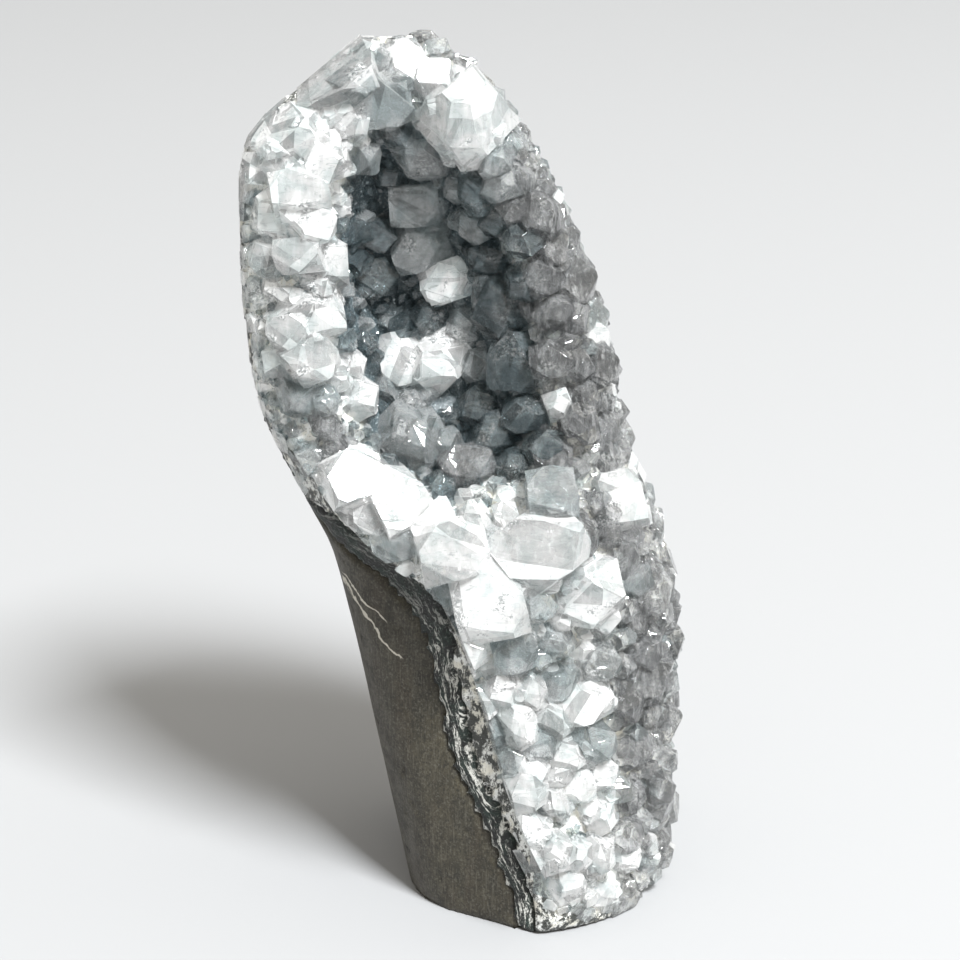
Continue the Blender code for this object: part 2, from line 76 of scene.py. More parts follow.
# Crystal bed by height: middle, left reach, right edge, depth of the middle line, foremost line.
BED = (
    (-6, -18, 45, 29, -2, -46), (14, -21, 45, 29.5, -1, -42.5), (30, -26, 42, 30, 0, -38),
    (48, -31, 38, 30.5, 0.5, -32.5), (66, -35, 36, 30, 1.5, -30.5), (80, -32, 38, 27.5, 2.5, -30),
    (90, -22, 36, 24, 3, -26.5), (98, -18, 40, 20, 3.5, -24), (106, -20, 46, 17, 4, -21),
    (118, -24, 46, 16, 4.5, -18), (132, -27, 45, 13, 5.5, -15.5), (146, -30, 43, 8, 6.5, -13),
    (160, -33, 41, 3, 8, -9.5), (172, -36, 38, -3.5, 9, -6), (182, -38, 35, -10, 10.5, -2),
    (191, -41, 30, -21, 14, 3.5), (203, -46, 24, -32, 21, 11),
)
# Thickness of the crystals' common base and of the dark rind behind it, by height.
CRUST = ((-6, 4.2), (55, 4.2), (70, 5.5), (84, 8), (93, 6.5), (105, 4.5), (175, 4), (203, 3))
RIND = ((-6, 3.6), (55, 3.6), (70, 4.2), (82, 5.5), (95, 4), (120, 3), (170, 3), (203, 2))
# Hollow by height: left rim, right rim, depth.
HOLLOW = ((90, -40, 8, 0), (97, -41, 10, 3), (104, -44, 12, 13), (112, -47, 13, 21), (125, -50, 12, 27),
          (140, -52, 9, 28), (154, -51, 3, 25), (166, -49, -4, 18), (176, -45, -11, 10), (186, -40, -20, 3),
          (193, -38, -26, 0))
# Reach of the crystals round the front in degrees, the straight right flank behind it, and lowest and highest seat.
TURN_LEFT, TURN_RIGHT = -75, 115
FLANK_DEPTH = 18
SEAT_LOW, SEAT_HIGH = 2, 196
BLOCK_TOP = 196.5

# Point of view of the drawing in which the large crystals are placed, and its middle.
VIEW_ANGLE = 22
VIEW_DISTANCE = 600
VIEW_TARGET = (-13.9, 0, 96.6)
CAMERA_SENSOR, CAMERA_LENS, CAMERA_CLIP = 36, 99, 0.02

# Stage in metres: floor, how far it is shifted forward, backdrop, its bend, and the main light.
FLOOR_SIZE, FLOOR_SHIFT = 9, -1.6
BACKDROP_HEIGHT, BACKDROP_BEND, BEND_STEPS = 3, 1.2, 24
FAR_EDGE = 2
KEY_DIRECTION, KEY_DISTANCE, KEY_COLOR = (0.63, -0.80, 1.47), 4, (0.965, 0.985, 1.0)
ROOM_COLOR = (1.0, 0.96, 0.88, 1)

# Pale veins of the rock as drawn, across and up.
VEINS = (
    ((-31.2, -21.9), (-29.1, -25.6), (-26.7, -29.9), (-24.1, -32.8), (-22.3, -36.4), (-20.5, -38.3), (-18.2, -40.2)),
    ((-30.8, -21.4), (-28.9, -24.1), (-27, -27), (-25.2, -28.8), (-23, -30.1), (-21.8, -31.9)),
)

# Large crystals as drawn: place across and up, width, height above the bed, flat share of the tip,
# lean to the right and upward in degrees, turn about the axis, and finish: w milky, c clear,
# s slate, darkened as painted shade of the hollow, m smoky.
DRAWN = (
    # left rim and top
    (-35, 95, 16, 9, 1.5, -5, 8, 20, "w"), (-28, 91, 8, 8, 0.9, 5, -5, 40, "c"),
    (-30, 101, 7, 6, 1.2, 0, 15, 10, "w"), (-25.5, 99, 6, 6, 0.8, 8, 12, 30, "w"),
    (-40.5, 81, 17, 10, 0.2, 5, 12, 45, "w"), (-52, 80, 8, 5, 1.0, -12, 5, 10, "w"),
    (-46, 73, 9, 6, 0.6, -5, 0, 25, "w"), (-35.5, 73, 9.5, 7, 1.3, 5, -5, 15, "w"),
    (-27, 80, 9, 8, 0.5, 12, 0, 30, "w"), (-52, 71, 7, 4, 1.0, -15, 0, 0, "w"),
    (-41, 66, 11, 8, 1.4, 0, 0, 10, "w"), (-48, 60, 11, 6, 0.7, -8, -8, 45, "w"),
    (-30, 61, 10, 8, 0.3, 12, 0, 45, "w"), (-36, 57.5, 8, 8, 1.2, 0, 0, 20, "w"),
    (-42, 51, 9, 7, 1.2, -4, 4, 8, "w"), (-33, 49, 13, 9, 0.6, 8, 5, 35, "w"),
    (-50, 51, 7, 4, 1.0, -10, 0, 30, "w"), (-34, 38, 13, 9, 0.7, 10, 0, 40, "w"),
    (-44, 33, 9, 7, 1.1, -3, 0, 12, "w"), (-37, 27, 10, 8, 0.9, 0, -8, 30, "w"),
    (-28, 26, 7, 7, 0.9, 6, 0, 15, "w"), (-42, 17, 10, 8, 0.4, 0, -12, 40, "c"),
    (-34.5, 18, 6, 6, 0.8, 0, 0, 5, "c"), (-26, 19, 9.5, 8, 0.6, 5, 0, 20, "w"),
    (-35.5, 12, 7, 5, 0.5, 0, 0, 30, "m"), (-40, 4, 7, 4, 1.2, -8, 0, 0, "c"),
    # hollow
    (-22, 95, 7, 6, 0.4, 5, -5, 20, "c"), (-23, 86, 13, 6, 1.5, 0, 0, 8, "c"),
    (-19, 79, 8, 5, 0.8, 0, 0, 30, "s"), (-27, 71, 8, 6, 0.5, 0, 5, 20, "s"),
    (-21, 68, 7, 6, 0.7, 0, 0, 40, "s"), (-13, 73, 12, 8, 0.7, 5, -10, 45, "c"),
    (-15, 62, 10, 8, 1.4, 0, 0, 3, "c"), (-6.5, 65, 6, 6, 0.8, 0, 0, 25, "c"),
    (-1.5, 65, 9, 8, 0.8, 0, 5, 15, "s"), (-23, 55, 7.5, 8, 1.2, 0, 0, 5, "s"),
    (-14, 53, 12, 8, 1.1, 0, 0, 20, "c"), (-2, 57, 7, 6, 0.9, 0, 0, 35, "c"),
    (3.5, 66, 7, 7, 0.9, 0, 0, 20, "c"), (3, 58, 7, 6, 1.0, 0, 0, 10, "s"),
    (1, 50, 8, 6, 0.9, 0, 0, 28, "s"), (-8, 45, 10.5, 8, 1.0, 0, 4, 22, "w"),
    (-23, 46, 9.5, 8, 1.3, 0, 0, 2, "s"), (-12, 37, 8, 6, 0.8, 0, 0, 33, "s"),
    (-5, 35, 7, 6, 0.9, 0, 0, 12, "c"), (3, 39, 13, 9, 1.0, 0, 0, 18, "s"),
    (8, 43, 9.5, 9, 0.4, 0, -12, 45, "s"), (-18, 28, 11, 8, 1.2, 0, 0, 14, "w"),
    (-9.5, 27, 12.5, 9, 0.7, 0, -4, 45, "w"), (-2, 26, 7, 6, 0.9, 0, 0, 20, "c"),
    (7, 27, 12, 8, 1.6, 0, 0, 0, "s"), (-1.5, 17, 9, 7, 0.9, 0, 0, 30, "s"),
    (9.5, 15, 9, 8, 1.1, 0, 0, 15, "s"), (2, 11, 10, 7, 0.9, 0, 0, 35, "s"),
    (-15.5, 11.5, 16, 11, 0.7, 4, 4, 30, "c"), (-3, 4.5, 10, 8, 0.9, 0, 0, 25, "m"),
    (-9, -1, 7, 6, 0.8, 0, 0, 10, "s"), (-33, 6, 8, 3, 1.0, 0, 0, 20, "m"),
    (7.5, 4, 7, 5, 0.8, 0, 0, 40, "s"), (14, 8, 8, 7, 0.9, 0, 0, 5, "s"),
    # right rim
    (-16, 96, 9, 5, 1.4, 0, 10, 12, "w"), (-10, 92.5, 8, 5, 1.1, 5, 8, 30, "w"),
    (-3, 81, 17, 11, 0.7, 8, -4, 40, "w"), (3, 87, 9, 7, 0.9, 5, 5, 20, "c"),
    (7, 83.5, 7, 5, 0.8, 8, 0, 35, "w"), (8.5, 77, 8, 6, 0.7, 5, 0, 10, "c"),
    (2.5, 71.5, 6, 6, 0.9, 0, 0, 25, "c"), (13, 75, 7, 5, 0.7, 8, 0, 40, "c"),
    (10.5, 69, 7, 7, 0.3, 0, 8, 20, "m"), (16.5, 67.5, 7, 5, 0.9, 5, 0, 15, "c"),
    (14.5, 60, 10, 8, 0.9, 0, 0, 30, "m"), (20.5, 60, 8, 6, 0.8, 5, 0, 8, "m"),
    (9, 54, 8, 7, 0.7, 0, 0, 38, "s"), (17.5, 53.5, 7.5, 6, 1.1, 0, 0, 12, "m"),
    (23, 54, 6, 5, 0.7, 5, 0, 30, "m"), (14.5, 46, 8, 6, 0.9, 0, 0, 25, "m"),
    (22, 46, 11, 7, 1.0, 4, 0, 5, "m"), (17, 38, 8, 6, 0.8, 0, 0, 35, "m"),
    (23, 37.5, 7.5, 6, 0.7, 0, 0, 15, "m"), (28, 35, 7, 6, 0.6, 5, 0, 28, "m"),
    (16, 27, 8.5, 7, 1.0, 0, 0, 10, "m"), (22, 26, 6.5, 6, 0.8, 0, 0, 30, "m"),
    (28, 26, 8.5, 7, 0.9, 0, 0, 20, "m"), (31, 19, 8, 6, 1.1, 3, 0, 8, "m"),
    (24.5, 19, 6.5, 5, 0.7, 0, 0, 40, "m"), (18, 17, 6, 6, 0.7, 0, 0, 20, "w"),
    (23, 12.5, 8.5, 8, 0.6, 6, 0, 18, "m"), (30, 11.5, 8, 6, 0.9, 3, 0, 32, "m"),
    (16.5, 6, 8, 6, 1.2, 0, 0, 4, "m"), (31.5, 5, 9, 6, 1.3, 0, 0, 15, "m"),
    # shelf
    (-27, 2, 13, 7, 1.5, 0, 8, 10, "w"), (-18, -4, 14, 8, 1.4, 0, 5, 22, "w"),
    (-31, -7, 9, 5, 1.2, -5, 0, 35, "w"), (-24, -9, 8, 5, 1.1, 0, 0, 5, "w"),
    (-19.5, -14.5, 9, 5, 1.3, -5, -5, 15, "c"), (-11, -9, 9, 7, 1.1, 0, 0, 30, "w"),
    (-6, -16, 14, 9, 1.4, 0, 0, 12, "w"), (-1, -8.5, 8, 6, 1.0, 0, 5, 28, "w"),
    (6, -8, 6, 5, 0.9, 0, 5, 10, "w"), (3, -14, 7, 5, 0.9, 0, 0, 40, "c"),
    (16.5, -2.5, 11, 9, 1.5, 0, 0, 6, "c"), (33, -4.5, 12, 9, 1.75, 2, 0, 2, "w"),
    (14, -15, 18, 9, 1.3, 0, 4, 35, "w"), (24, -13, 8, 7, 0.9, 5, 0, 20, "m"),
    (30, -12, 7, 6, 0.8, 0, 0, 30, "m"), (36, -13, 8, 6, 1.0, 5, 0, 12, "m"),
    # slope
    (9.5, -22.5, 6, 5, 0.8, 0, 0, 15, "w"), (2, -28, 17, 10, 1.6, -5, 4, 12, "w"),
    (13, -29, 8, 7, 0.9, 0, 0, 38, "c"), (25.5, -28, 14, 9, 0.9, 0, -12, 8, "w"),
    (-8.5, -27, 8, 5, 1.0, -8, 0, 25, "c"), (-8, -34, 6.5, 4, 0.8, -5, 0, 5, "s"),
    (-3, -40, 8.5, 7, 1.0, 0, 0, 20, "w"), (8, -39, 10, 6, 1.2, 0, 0, 8, "c"),
    (18, -37, 8, 6, 0.8, 0, 0, 30, "c"), (28, -42, 8, 7, 0.9, 0, 0, 15, "c"),
    (18.5, -46, 8.5, 6, 1.2, 0, 0, 35, "c"), (39, -24, 12, 7, 1.1, 3, 0, 10, "m"),
    (43, -32, 9, 7, 0.6, 3, -5, 25, "m"), (35.5, -33, 7, 5, 0.9, 0, 0, 40, "m"),
    (39, -45, 13, 8, 1.0, 3, 0, 18, "m"), (5.5, -48, 8, 6, 1.0, 0, 0, 30, "w"),
    (12.5, -48.5, 7, 6, 0.9, 0, 0, 12, "w"), (9.5, -55.5, 9, 8, 0.8, -3, 5, 30, "w"),
    (17.5, -54, 9.5, 8, 0.7, 3, 0, 12, "w"), (14, -60.5, 8, 7, 0.9, 0, 0, 40, "c"),
    (20.5, -62, 9, 7, 0.6, 4, 4, 20, "w"),
    (12, -66, 7.5, 6, 0.9, 0, 0, 8, "w"), (18, -67.5, 6.5, 6, 0.8, 0, 0, 33, "w"),
    (25, -50.5, 11, 8, 1.3, 3, 3, 10, "w"), (27, -59.5, 9, 8, 0.9, 4, 0, 25, "c"),
    (2.5, -58, 6.5, 5, 0.8, 0, 0, 5, "c"), (7, -64, 7, 5, 0.9, 0, 0, 20, "c"),
    (-1.5, -52.5, 8, 6, 0.9, -5, 0, 35, "w"), (-6, -45, 8, 4, 1.3, -8, 0, 10, "w"),
    (34, -53, 7, 6, 0.8, 0, 0, 28, "m"), (42, -56, 10, 7, 1.1, 3, 0, 8, "m"),
    (37, -61, 8, 6, 0.7, 0, 0, 35, "m"), (42, -65, 7, 6, 0.8, 3, 0, 15, "m"),
    (11, -71, 10, 7, 1.0, 0, 0, 22, "w"), (18, -73, 7, 6, 0.8, 0, 5, 40, "w"),
    (23, -70, 7, 6, 1.0, 0, 0, 8, "w"), (28.5, -67, 6.5, 6, 0.9, 0, 0, 30, "w"),
    (28.5, -76, 8.5, 7, 0.5, 0, 6, 22, "w"), (35.5, -71.5, 8, 7, 0.5, 0, 5, 20, "m"),
    (41, -71.5, 7.5, 7, 1.3, 3, 0, 5, "w"), (41.5, -78, 8, 5, 1.0, 3, 0, 25, "m"),
    (38, -83, 7, 6, 0.9, 0, 0, 35, "w"), (3, -72, 7, 4, 1.2, -5, 0, 15, "w"),
    (12, -80, 8, 5, 1.0, 0, 0, 30, "w"),
    # foot
    (18, -84, 8.5, 7, 0.4, 0, 12, 10, "w"), (23, -85, 7, 7, 0.4, 0, 10, 35, "w"),
    (28, -85, 8.5, 8, 0.4, 0, 12, 20, "w"), (33.5, -86, 7.5, 5, 0.8, 0, 0, 40, "w"),
    (12, -88, 8, 5, 1.0, 0, 0, 12, "w"), (20, -92, 8, 5, 0.9, 0, 0, 28, "w"),
)


def along(table, z, column=1):
    """Value of a table column at height z, on a smooth curve through its rows."""
    rows = [(row[0], row[column]) for row in table]
    if z <= rows[0][0]:
        return rows[0][1]
    if z >= rows[-1][0]:
        return rows[-1][1]
    i = max(k for k in range(len(rows) - 1) if rows[k][0] <= z)
    slopes = [(b[1] - a[1]) / (b[0] - a[0]) for a, b in zip(rows, rows[1:])]

    def tangent(k):
        if k == 0 or k == len(rows) - 1:
            return slopes[min(k, len(slopes) - 1)]
        before, after = slopes[k - 1], slopes[k]
        return 0 if before * after <= 0 else 2 * before * after / (before + after)

    (z0, v0), (z1, v1) = rows[i], rows[i + 1]
    span = z1 - z0
    t = (z - z0) / span
    return (v0 * (1 + 2 * t) * (1 - t) ** 2 + tangent(i) * span * t * (1 - t) ** 2
            + v1 * t * t * (3 - 2 * t) + tangent(i + 1) * span * t * t * (t - 1))


def ease(t):
    t = min(max(t, 0.0), 1.0)
    return t * t * (3 - 2 * t)


def clear_selection():
    """Leaves nothing selected, and no mesh open for editing."""
    if bpy.context.object and bpy.context.object.mode != "OBJECT":
        bpy.ops.object.mode_set(mode="OBJECT")
    bpy.ops.object.select_all(action="DESELECT")


def make_active(piece):
    clear_selection()
    piece.select_set(True)
    bpy.context.view_layer.objects.active = piece


def mesh_object(name, points, faces):
    mesh = bpy.data.meshes.new(name)
    mesh.from_pydata([tuple(c * MM for c in point) for point in points], [], faces)
    mesh.update()
    made = bpy.data.objects.new(name, mesh)
    bpy.context.scene.collection.objects.link(made)
    return made


def loft(name, rings):
    """Closed body of flat triangles through rings of equally many points, capped flat at both ends."""
    count = len(rings[0])
    points = [point for ring in rings for point in ring]
    faces = [tuple(reversed(range(count))), tuple(range(len(points) - count, len(points)))]
    for level in range(len(rings) - 1):
        low, high = level * count, (level + 1) * count
        for k in range(count):
            n = (k + 1) % count
            faces += [(low + k, low + n, high + n), (low + k, high + n, high + k)]
    return mesh_object(name, points, faces)


def apply_modifier(piece, kind, **settings):
    """Adds one modifier with its settings and applies it."""
    step = piece.modifiers.new(kind.lower(), kind)
    for key, value in settings.items():
        setattr(step, key, value)
    make_active(piece)
    bpy.context.view_layer.update()
    bpy.ops.object.modifier_apply(modifier=step.name)


def combine(body, other, how):
    apply_modifier(body, "BOOLEAN", operation=how, solver="EXACT", object=other)
    bpy.data.objects.remove(other)
    if not body.data.polygons:
        raise RuntimeError(body.name + " came out empty")


def rounded(corner, before, after, radius, steps):
    """Arc that replaces the corner of a polygon."""
    corner, before, after = Vector(corner), Vector(before), Vector(after)
    toward, away = (before - corner).normalized(), (after - corner).normalized()
    half = toward.angle(away) / 2
    radius = min(radius, 0.45 * math.tan(half) * min((before - corner).length, (after - corner).length))
    reach = radius / math.tan(half)
    middle = corner + (toward + away).normalized() * radius / math.sin(half)
    start, end = corner + toward * reach - middle, corner + away * reach - middle
    sweep = start.angle_signed(end)
    turns = [-sweep * k / steps for k in range(steps + 1)]
    return [middle + Matrix.Rotation(turn, 2) @ start for turn in turns]


def block_ring(z):
    """Plan of the ground block at height z; its front and right lie clear of the crystals."""
    left, corner = along(LEFT_EDGE, z), along(LEFT_CORNER, z)
    angle, back = math.radians(along(SIDE_ANGLE, z)), along(BACK, z)
    right = along(BED, z, 3) + 8
    side = along(SIDE_LENGTH, z)
    side_end = (left + side * math.cos(angle), corner - side * math.sin(angle))
    steep = math.radians(FRONT_ANGLE)
    far_front = (side_end[0] + 80 * math.cos(steep), side_end[1] - 80 * math.sin(steep))
    front_left, back_left = (left, corner), (left + along(SHOULDER, z), back - 6)
    back_right, far_right = (right, back - 5), (right + 70, far_front[1])
    spine = ((back_left[0] + back_right[0]) / 2 - 4, back)
    plan = [Vector(far_right), Vector(far_front), Vector(side_end)]
    plan += rounded(front_left, side_end, back_left, along(CORNER_RADIUS, z), 12)
    plan += rounded(back_left, front_left, spine, 18, 12)
    plan += rounded(spine, back_left, back_right, 70, 8)
    plan += rounded(back_right, spine, far_right, 14, 10)
    return [(p.x, p.y, z) for p in reversed(plan)]


def foot_ring(middle_x, reach_x, middle_y, reach_y, z):
    turns = [math.tau * k / FOOT_POINTS for k in range(FOOT_POINTS)]
    return [(middle_x + reach_x * math.cos(t), middle_y + reach_y * math.sin(t), z) for t in turns]


def ground_block(name, bottom):
    """Everything inside the sawn and ground outer faces, down to height bottom."""
    levels = [bottom] + [z for z in range(4, 196, 4)] + [BLOCK_TOP]
    block = loft(name, [block_ring(z) for z in levels])
    foot = [foot_ring(*FOOT[0][1:], -5)] + [foot_ring(*row[1:], row[0]) for row in FOOT]
    combine(block, loft(name + "_foot", foot + [foot_ring(-8, 130, -2, 130, 230)]), "INTERSECT")
    return block


def hollow_depth(x, z, inset):
    """How far the hollow lies behind the front of the druse; a wider one for surfaces deeper in the rock."""
    z += inset * min(max((140 - z) / 30, -1), 1)
    left, right = along(HOLLOW, z, 1) - inset, along(HOLLOW, z, 2) + inset
    across = (x - left) / (right - left)
    return along(HOLLOW, z, 3) * ease(across / 0.27) * (1 - ease((across - 0.42) / 0.58))


def bed_point(turn, z, inset):
    """Point of the crystal bed's surface, or of a surface that lies inset behind it."""
    middle, left, right = along(BED, z, 1), along(BED, z, 2), along(BED, z, 3)
    depth, front = along(BED, z, 4), along(BED, z, 5)
    reach = max(right - middle - inset, 2) if turn > 0 else left
    bulge = max(depth - front - inset, 2)
    x = middle + reach * math.sin(math.radians(turn))
    y = front + inset + bulge * (1 - math.cos(math.radians(turn)))
    lump = 0.9 * math.sin(turn * 0.21 + z * 0.13) * math.sin(turn * 0.11 - z * 0.19 + 1)
    return Vector((x, y + hollow_depth(x, z, inset) + lump, z))


def spread(low, high, count):
    return [low + (high - low) * k / (count - 1) for k in range(count)]


def rock_behind(name, layers, gap=0.0, rows=30, columns=25):
    """All that lies behind the bed's surface moved back by the given layers, and by an even gap on top."""
    rings = []
    for z in spread(BED[0][0], BED[-1][0], rows):
        inset = sum(along(layer, z) for layer in layers)
        front = [bed_point(turn, z, inset) for turn in spread(TURN_LEFT, TURN_RIGHT, columns)]
        rings.append([Vector((front[0].x, 75, z))] + front + [Vector((front[-1].x, 75, z))])
    moved = []
    for level, ring in enumerate(rings):
        under, over = rings[max(level - 1, 0)], rings[min(level + 1, len(rings) - 1)]
        shifted = []
        for k, point in enumerate(ring):
            along_ring = ring[min(k + 1, len(ring) - 1)] - ring[max(k - 1, 0)]
            outward = along_ring.cross(over[k] - under[k]).normalized()
            if level in (0, len(rings) - 1):
                outward.z = 0
            shifted.append(point - outward * gap * 1.25)
        moved.append(shifted)
    return loft(name, moved)


def surface_tree(layers, rows=90, columns=70):
    """The bed's surface, or one behind it, for finding distances and the places where crystals root."""
    points, faces = [], []
    for z in spread(BED[0][0], BED[-1][0], rows):
        inset = sum(along(layer, z) for layer in layers)
        points += [bed_point(turn, z, inset) for turn in spread(TURN_LEFT, TURN_RIGHT, columns)]
    for row in range(rows - 1):
        for k in range(columns - 1):
            a = row * columns + k
            faces.append((a, a + 1, a + 1 + columns, a + columns))
    return BVHTree.FromPolygons(points, faces), points


def drawing_ray(across, up):
    """Eye point and direction through a place in the drawing."""
    tilt = math.radians(VIEW_ANGLE)
    forward, upward = Vector((0, math.cos(tilt), -math.sin(tilt))), Vector((0, math.sin(tilt), math.cos(tilt)))
    eye = Vector(VIEW_TARGET) - forward * VIEW_DISTANCE
    direction = forward * VIEW_DISTANCE + Vector((1, 0, 0)) * across + upward * up
    return eye, direction.normalized(), upward


def drawn_at(point):
    """Place in the drawing, across and up, where a point is seen."""
    eye, look, upward = drawing_ray(0, 0)
    offset = point - eye
    scale = VIEW_DISTANCE / offset.dot(look)
    return Vector((offset.x * scale, offset.dot(upward) * scale))


def beside_line(spot, line):
    """Signed distance from a drawn line, and 1 near it down to 0 a little way off or past its ends."""
    best = None
    for start, end in zip(line, line[1:]):
        start, step = Vector(start), Vector(end) - Vector(start)
        share = (spot - start).dot(step) / step.length_squared
        gap = spot - start - step * min(max(share, 0), 1)
        past = max(-share, share - 1, 0) * step.length
        if best is None or gap.length < best[0]:
            side = math.copysign(1, step.x * gap.y - step.y * gap.x)
            best = gap.length, side * gap.length, past
    return best[1], ease((4 - best[0]) / 1.5) * ease(1 - best[2])


def drawn_place(tree, points, row):
    """Tip, axis and seat of a crystal whose tip is seen at its place in the drawing."""
    across, up, width, reach, flat, lean_right, lean_up, spin = row[:8]
    eye, look, upward = drawing_ray(across, up)
    place, normal, _, _ = tree.ray_cast(eye, look)
    if place is None:
        edge = [p for p in points if 6 < p.z < 197]
        root = min(edge, key=lambda p: (p - eye).cross(look).length)
        beside = eye + look * (root - eye).dot(look)
        normal = ((beside - root).normalized() + Vector((0.2, -0.4, 0))).normalized()
        place = beside - normal * reach * 0.5
    if normal.dot(look) > 0:
        normal = -normal
    axis = (normal * 0.55 - look * 0.6).normalized()
    axis += Vector((1, 0, 0)) * math.tan(math.radians(lean_right)) + upward * math.tan(math.radians(lean_up))
    axis.normalize()
    return place - look * (reach * -axis.dot(look)), axis, place


class Ground:
    """The limits that every crystal keeps to: the ground faces of the block."""

    def __init__(self):
        block = ground_block("limit", EDGE_LIFT)
        mesh = block.data
        points = [v.co / MM for v in mesh.vertices]
        self.tree = BVHTree.FromPolygons(points, [tuple(p.vertices) for p in mesh.polygons])
        bpy.data.objects.remove(block)

    def beyond(self, point):
        """How far a point lies outside, and the ground face's place and direction there."""
        place, normal, _, _ = self.tree.find_nearest(point)
        return (point - place).dot(normal), place, normal

    def trim(self, form):
        """Grinds a crystal flush; False when nothing of it is left."""
        for _ in range(4):
            if not form.verts:
                return False
            worst = max((self.beyond(v.co) for v in form.verts), key=lambda found: found[0])
            if worst[0] < 0.03:
                return True
            slice_off(form, worst[1], worst[2])
        return bool(form.verts)


def slice_off(form, point, normal):
    """Cuts away what lies beyond a plane and closes the cut."""
    whole = form.verts[:] + form.edges[:] + form.faces[:]
    bmesh.ops.bisect_plane(form, geom=whole, plane_co=point, plane_no=normal, clear_outer=True)
    bmesh.ops.holes_fill(form, edges=[e for e in form.edges if e.is_boundary], sides=0)


# Proportions of a crystal of half width 1, the flat shares of tip that are modelled, the angle from which an edge
# is worn in radians, how far points wander, and the seeds of the large, filling and tiny crystals.
MASTER_LENGTH = 3.4
PYRAMID_SLOPE = 1.15
TIP_FLATS = (0.2, 0.45, 0.7, 0.95, 1.2, 1.5, 1.75)
SHARP_EDGE, WANDER = 0.3, 0.035
LARGE_SEED, FILL_SEED, TINY_SEED = 11, 23, 37


def cut_across(chance, share, clear):
    """Cuts the open mesh with a plane through or near its edge; clear takes away what lies beyond."""
    form = bmesh.from_edit_mesh(bpy.context.object.data)
    aim = Vector((chance.uniform(-1, 1), chance.uniform(-1, 1), chance.uniform(-0.2, 0.9))).normalized()
    far = max(v.co.dot(aim) for v in form.verts)
    bpy.ops.mesh.select_all(action="SELECT")
    bpy.ops.mesh.bisect(plane_co=aim * (far - share), plane_no=aim, use_fill=clear, clear_outer=clear)


def master_crystal(flat, variant, wear, stepped, plain):
    """One crystal of half width 1 with its tip at the origin: a square prism cut by its four pyramid faces,
    with chipped corners, growth steps, cracks and worn edges."""
    chance = random.Random(round(flat * 100) + variant * 7919)
    clear_selection()
    bpy.ops.mesh.primitive_cube_add(size=2, location=(0, 0, -MASTER_LENGTH / 2), scale=(1, 1, MASTER_LENGTH / 2))
    made = bpy.context.object
    bpy.ops.object.transform_apply(location=True, scale=True)
    bpy.ops.object.mode_set(mode="EDIT")
    for side_x in (-1, 1):
        for side_y in (-1, 1):
            share = max(flat * chance.uniform(0.7, 1.25), 0.05)
            tilt = PYRAMID_SLOPE * chance.uniform(0.85, 1.15)
            bpy.ops.mesh.select_all(action="SELECT")
            bpy.ops.mesh.bisect(plane_co=(side_x * share / 2, side_y * share / 2, 0),
                                plane_no=(side_x * tilt, side_y * tilt, 1), use_fill=True, clear_outer=True)
    for _ in range(0 if plain else chance.choice((1, 2, 3))):
        cut_across(chance, chance.uniform(0.08, 0.34), True)
    if stepped:
        form = bmesh.from_edit_mesh(made.data)
        large = [f.index for f in form.faces if f.calc_area() > 0.5 and f.normal.z > -0.5]
        for index in chance.sample(large, min(2, len(large))):
            bpy.ops.mesh.select_all(action="DESELECT")
            form = bmesh.from_edit_mesh(made.data)
            form.faces.ensure_lookup_table()
            form.faces[index].select = True
            bpy.ops.mesh.inset(thickness=chance.uniform(0.08, 0.2), depth=chance.uniform(-0.02, 0.05))
    for _ in range(0 if plain else 4 if stepped else 2):
        cut_across(chance, chance.uniform(0.25, 1.3), False)
    form = bmesh.from_edit_mesh(made.data)
    if not plain:
        for vert in form.verts:
            vert.co += Vector([chance.uniform(-WANDER, WANDER) for _ in range(3)])
        form.normal_update()
        for edge in form.edges:
            edge.select_set(edge.is_manifold and edge.calc_face_angle() > SHARP_EDGE)
        bmesh.update_edit_mesh(made.data)
        bpy.ops.mesh.bevel(offset=wear, segments=1, affect="EDGES", clamp_overlap=True)
    bpy.ops.object.mode_set(mode="OBJECT")
    mesh = made.data
    bpy.data.objects.remove(made)
    return mesh


class Masters:
    """The crystals that are modelled once, by the flat share of their tip."""

    def __init__(self, wear, stepped, variants=3, plain=False):
        self.made = {}
        for flat in TIP_FLATS:
            for variant in range(variants):
                self.made[flat, variant] = master_crystal(flat, variant, wear, stepped, plain)
        self.variants = variants

    def nearest(self, flat, chance):
        closest = min(TIP_FLATS, key=lambda have: abs(have - flat))
        return self.made[closest, chance.randrange(self.variants)]

    def clear(self):
        for mesh in self.made.values():
            bpy.data.meshes.remove(mesh)


# Shares of a crystal's own brightness that its single faces have.
FACE_TINTS = (1.0, 0.98, 0.9, 0.8, 0.66, 0.48)


class Pile:
    """Crystals of one finish, gathered until they become one mesh."""

    def __init__(self):
        self.points, self.faces, self.tint = [], [], []

    def add(self, form, tint, chance):
        start = len(self.points)
        for k, vert in enumerate(form.verts):
            vert.index = k
            self.points.append(vert.co.copy())
        self.faces += [tuple(start + v.index for v in face.verts) for face in form.faces]
        self.tint += [tint * chance.choice(FACE_TINTS) for _ in form.faces]

    def finish(self, name):
        made = mesh_object(name, self.points, self.faces)
        set_attribute(made, "tint", self.tint, "FACE")
        return made


def standing(axis, spin):
    """Turns an upright crystal onto its axis, with its own spin in degrees."""
    return axis.to_track_quat("Z", "Y").to_matrix() @ Matrix.Rotation(math.radians(spin), 3, "Z")


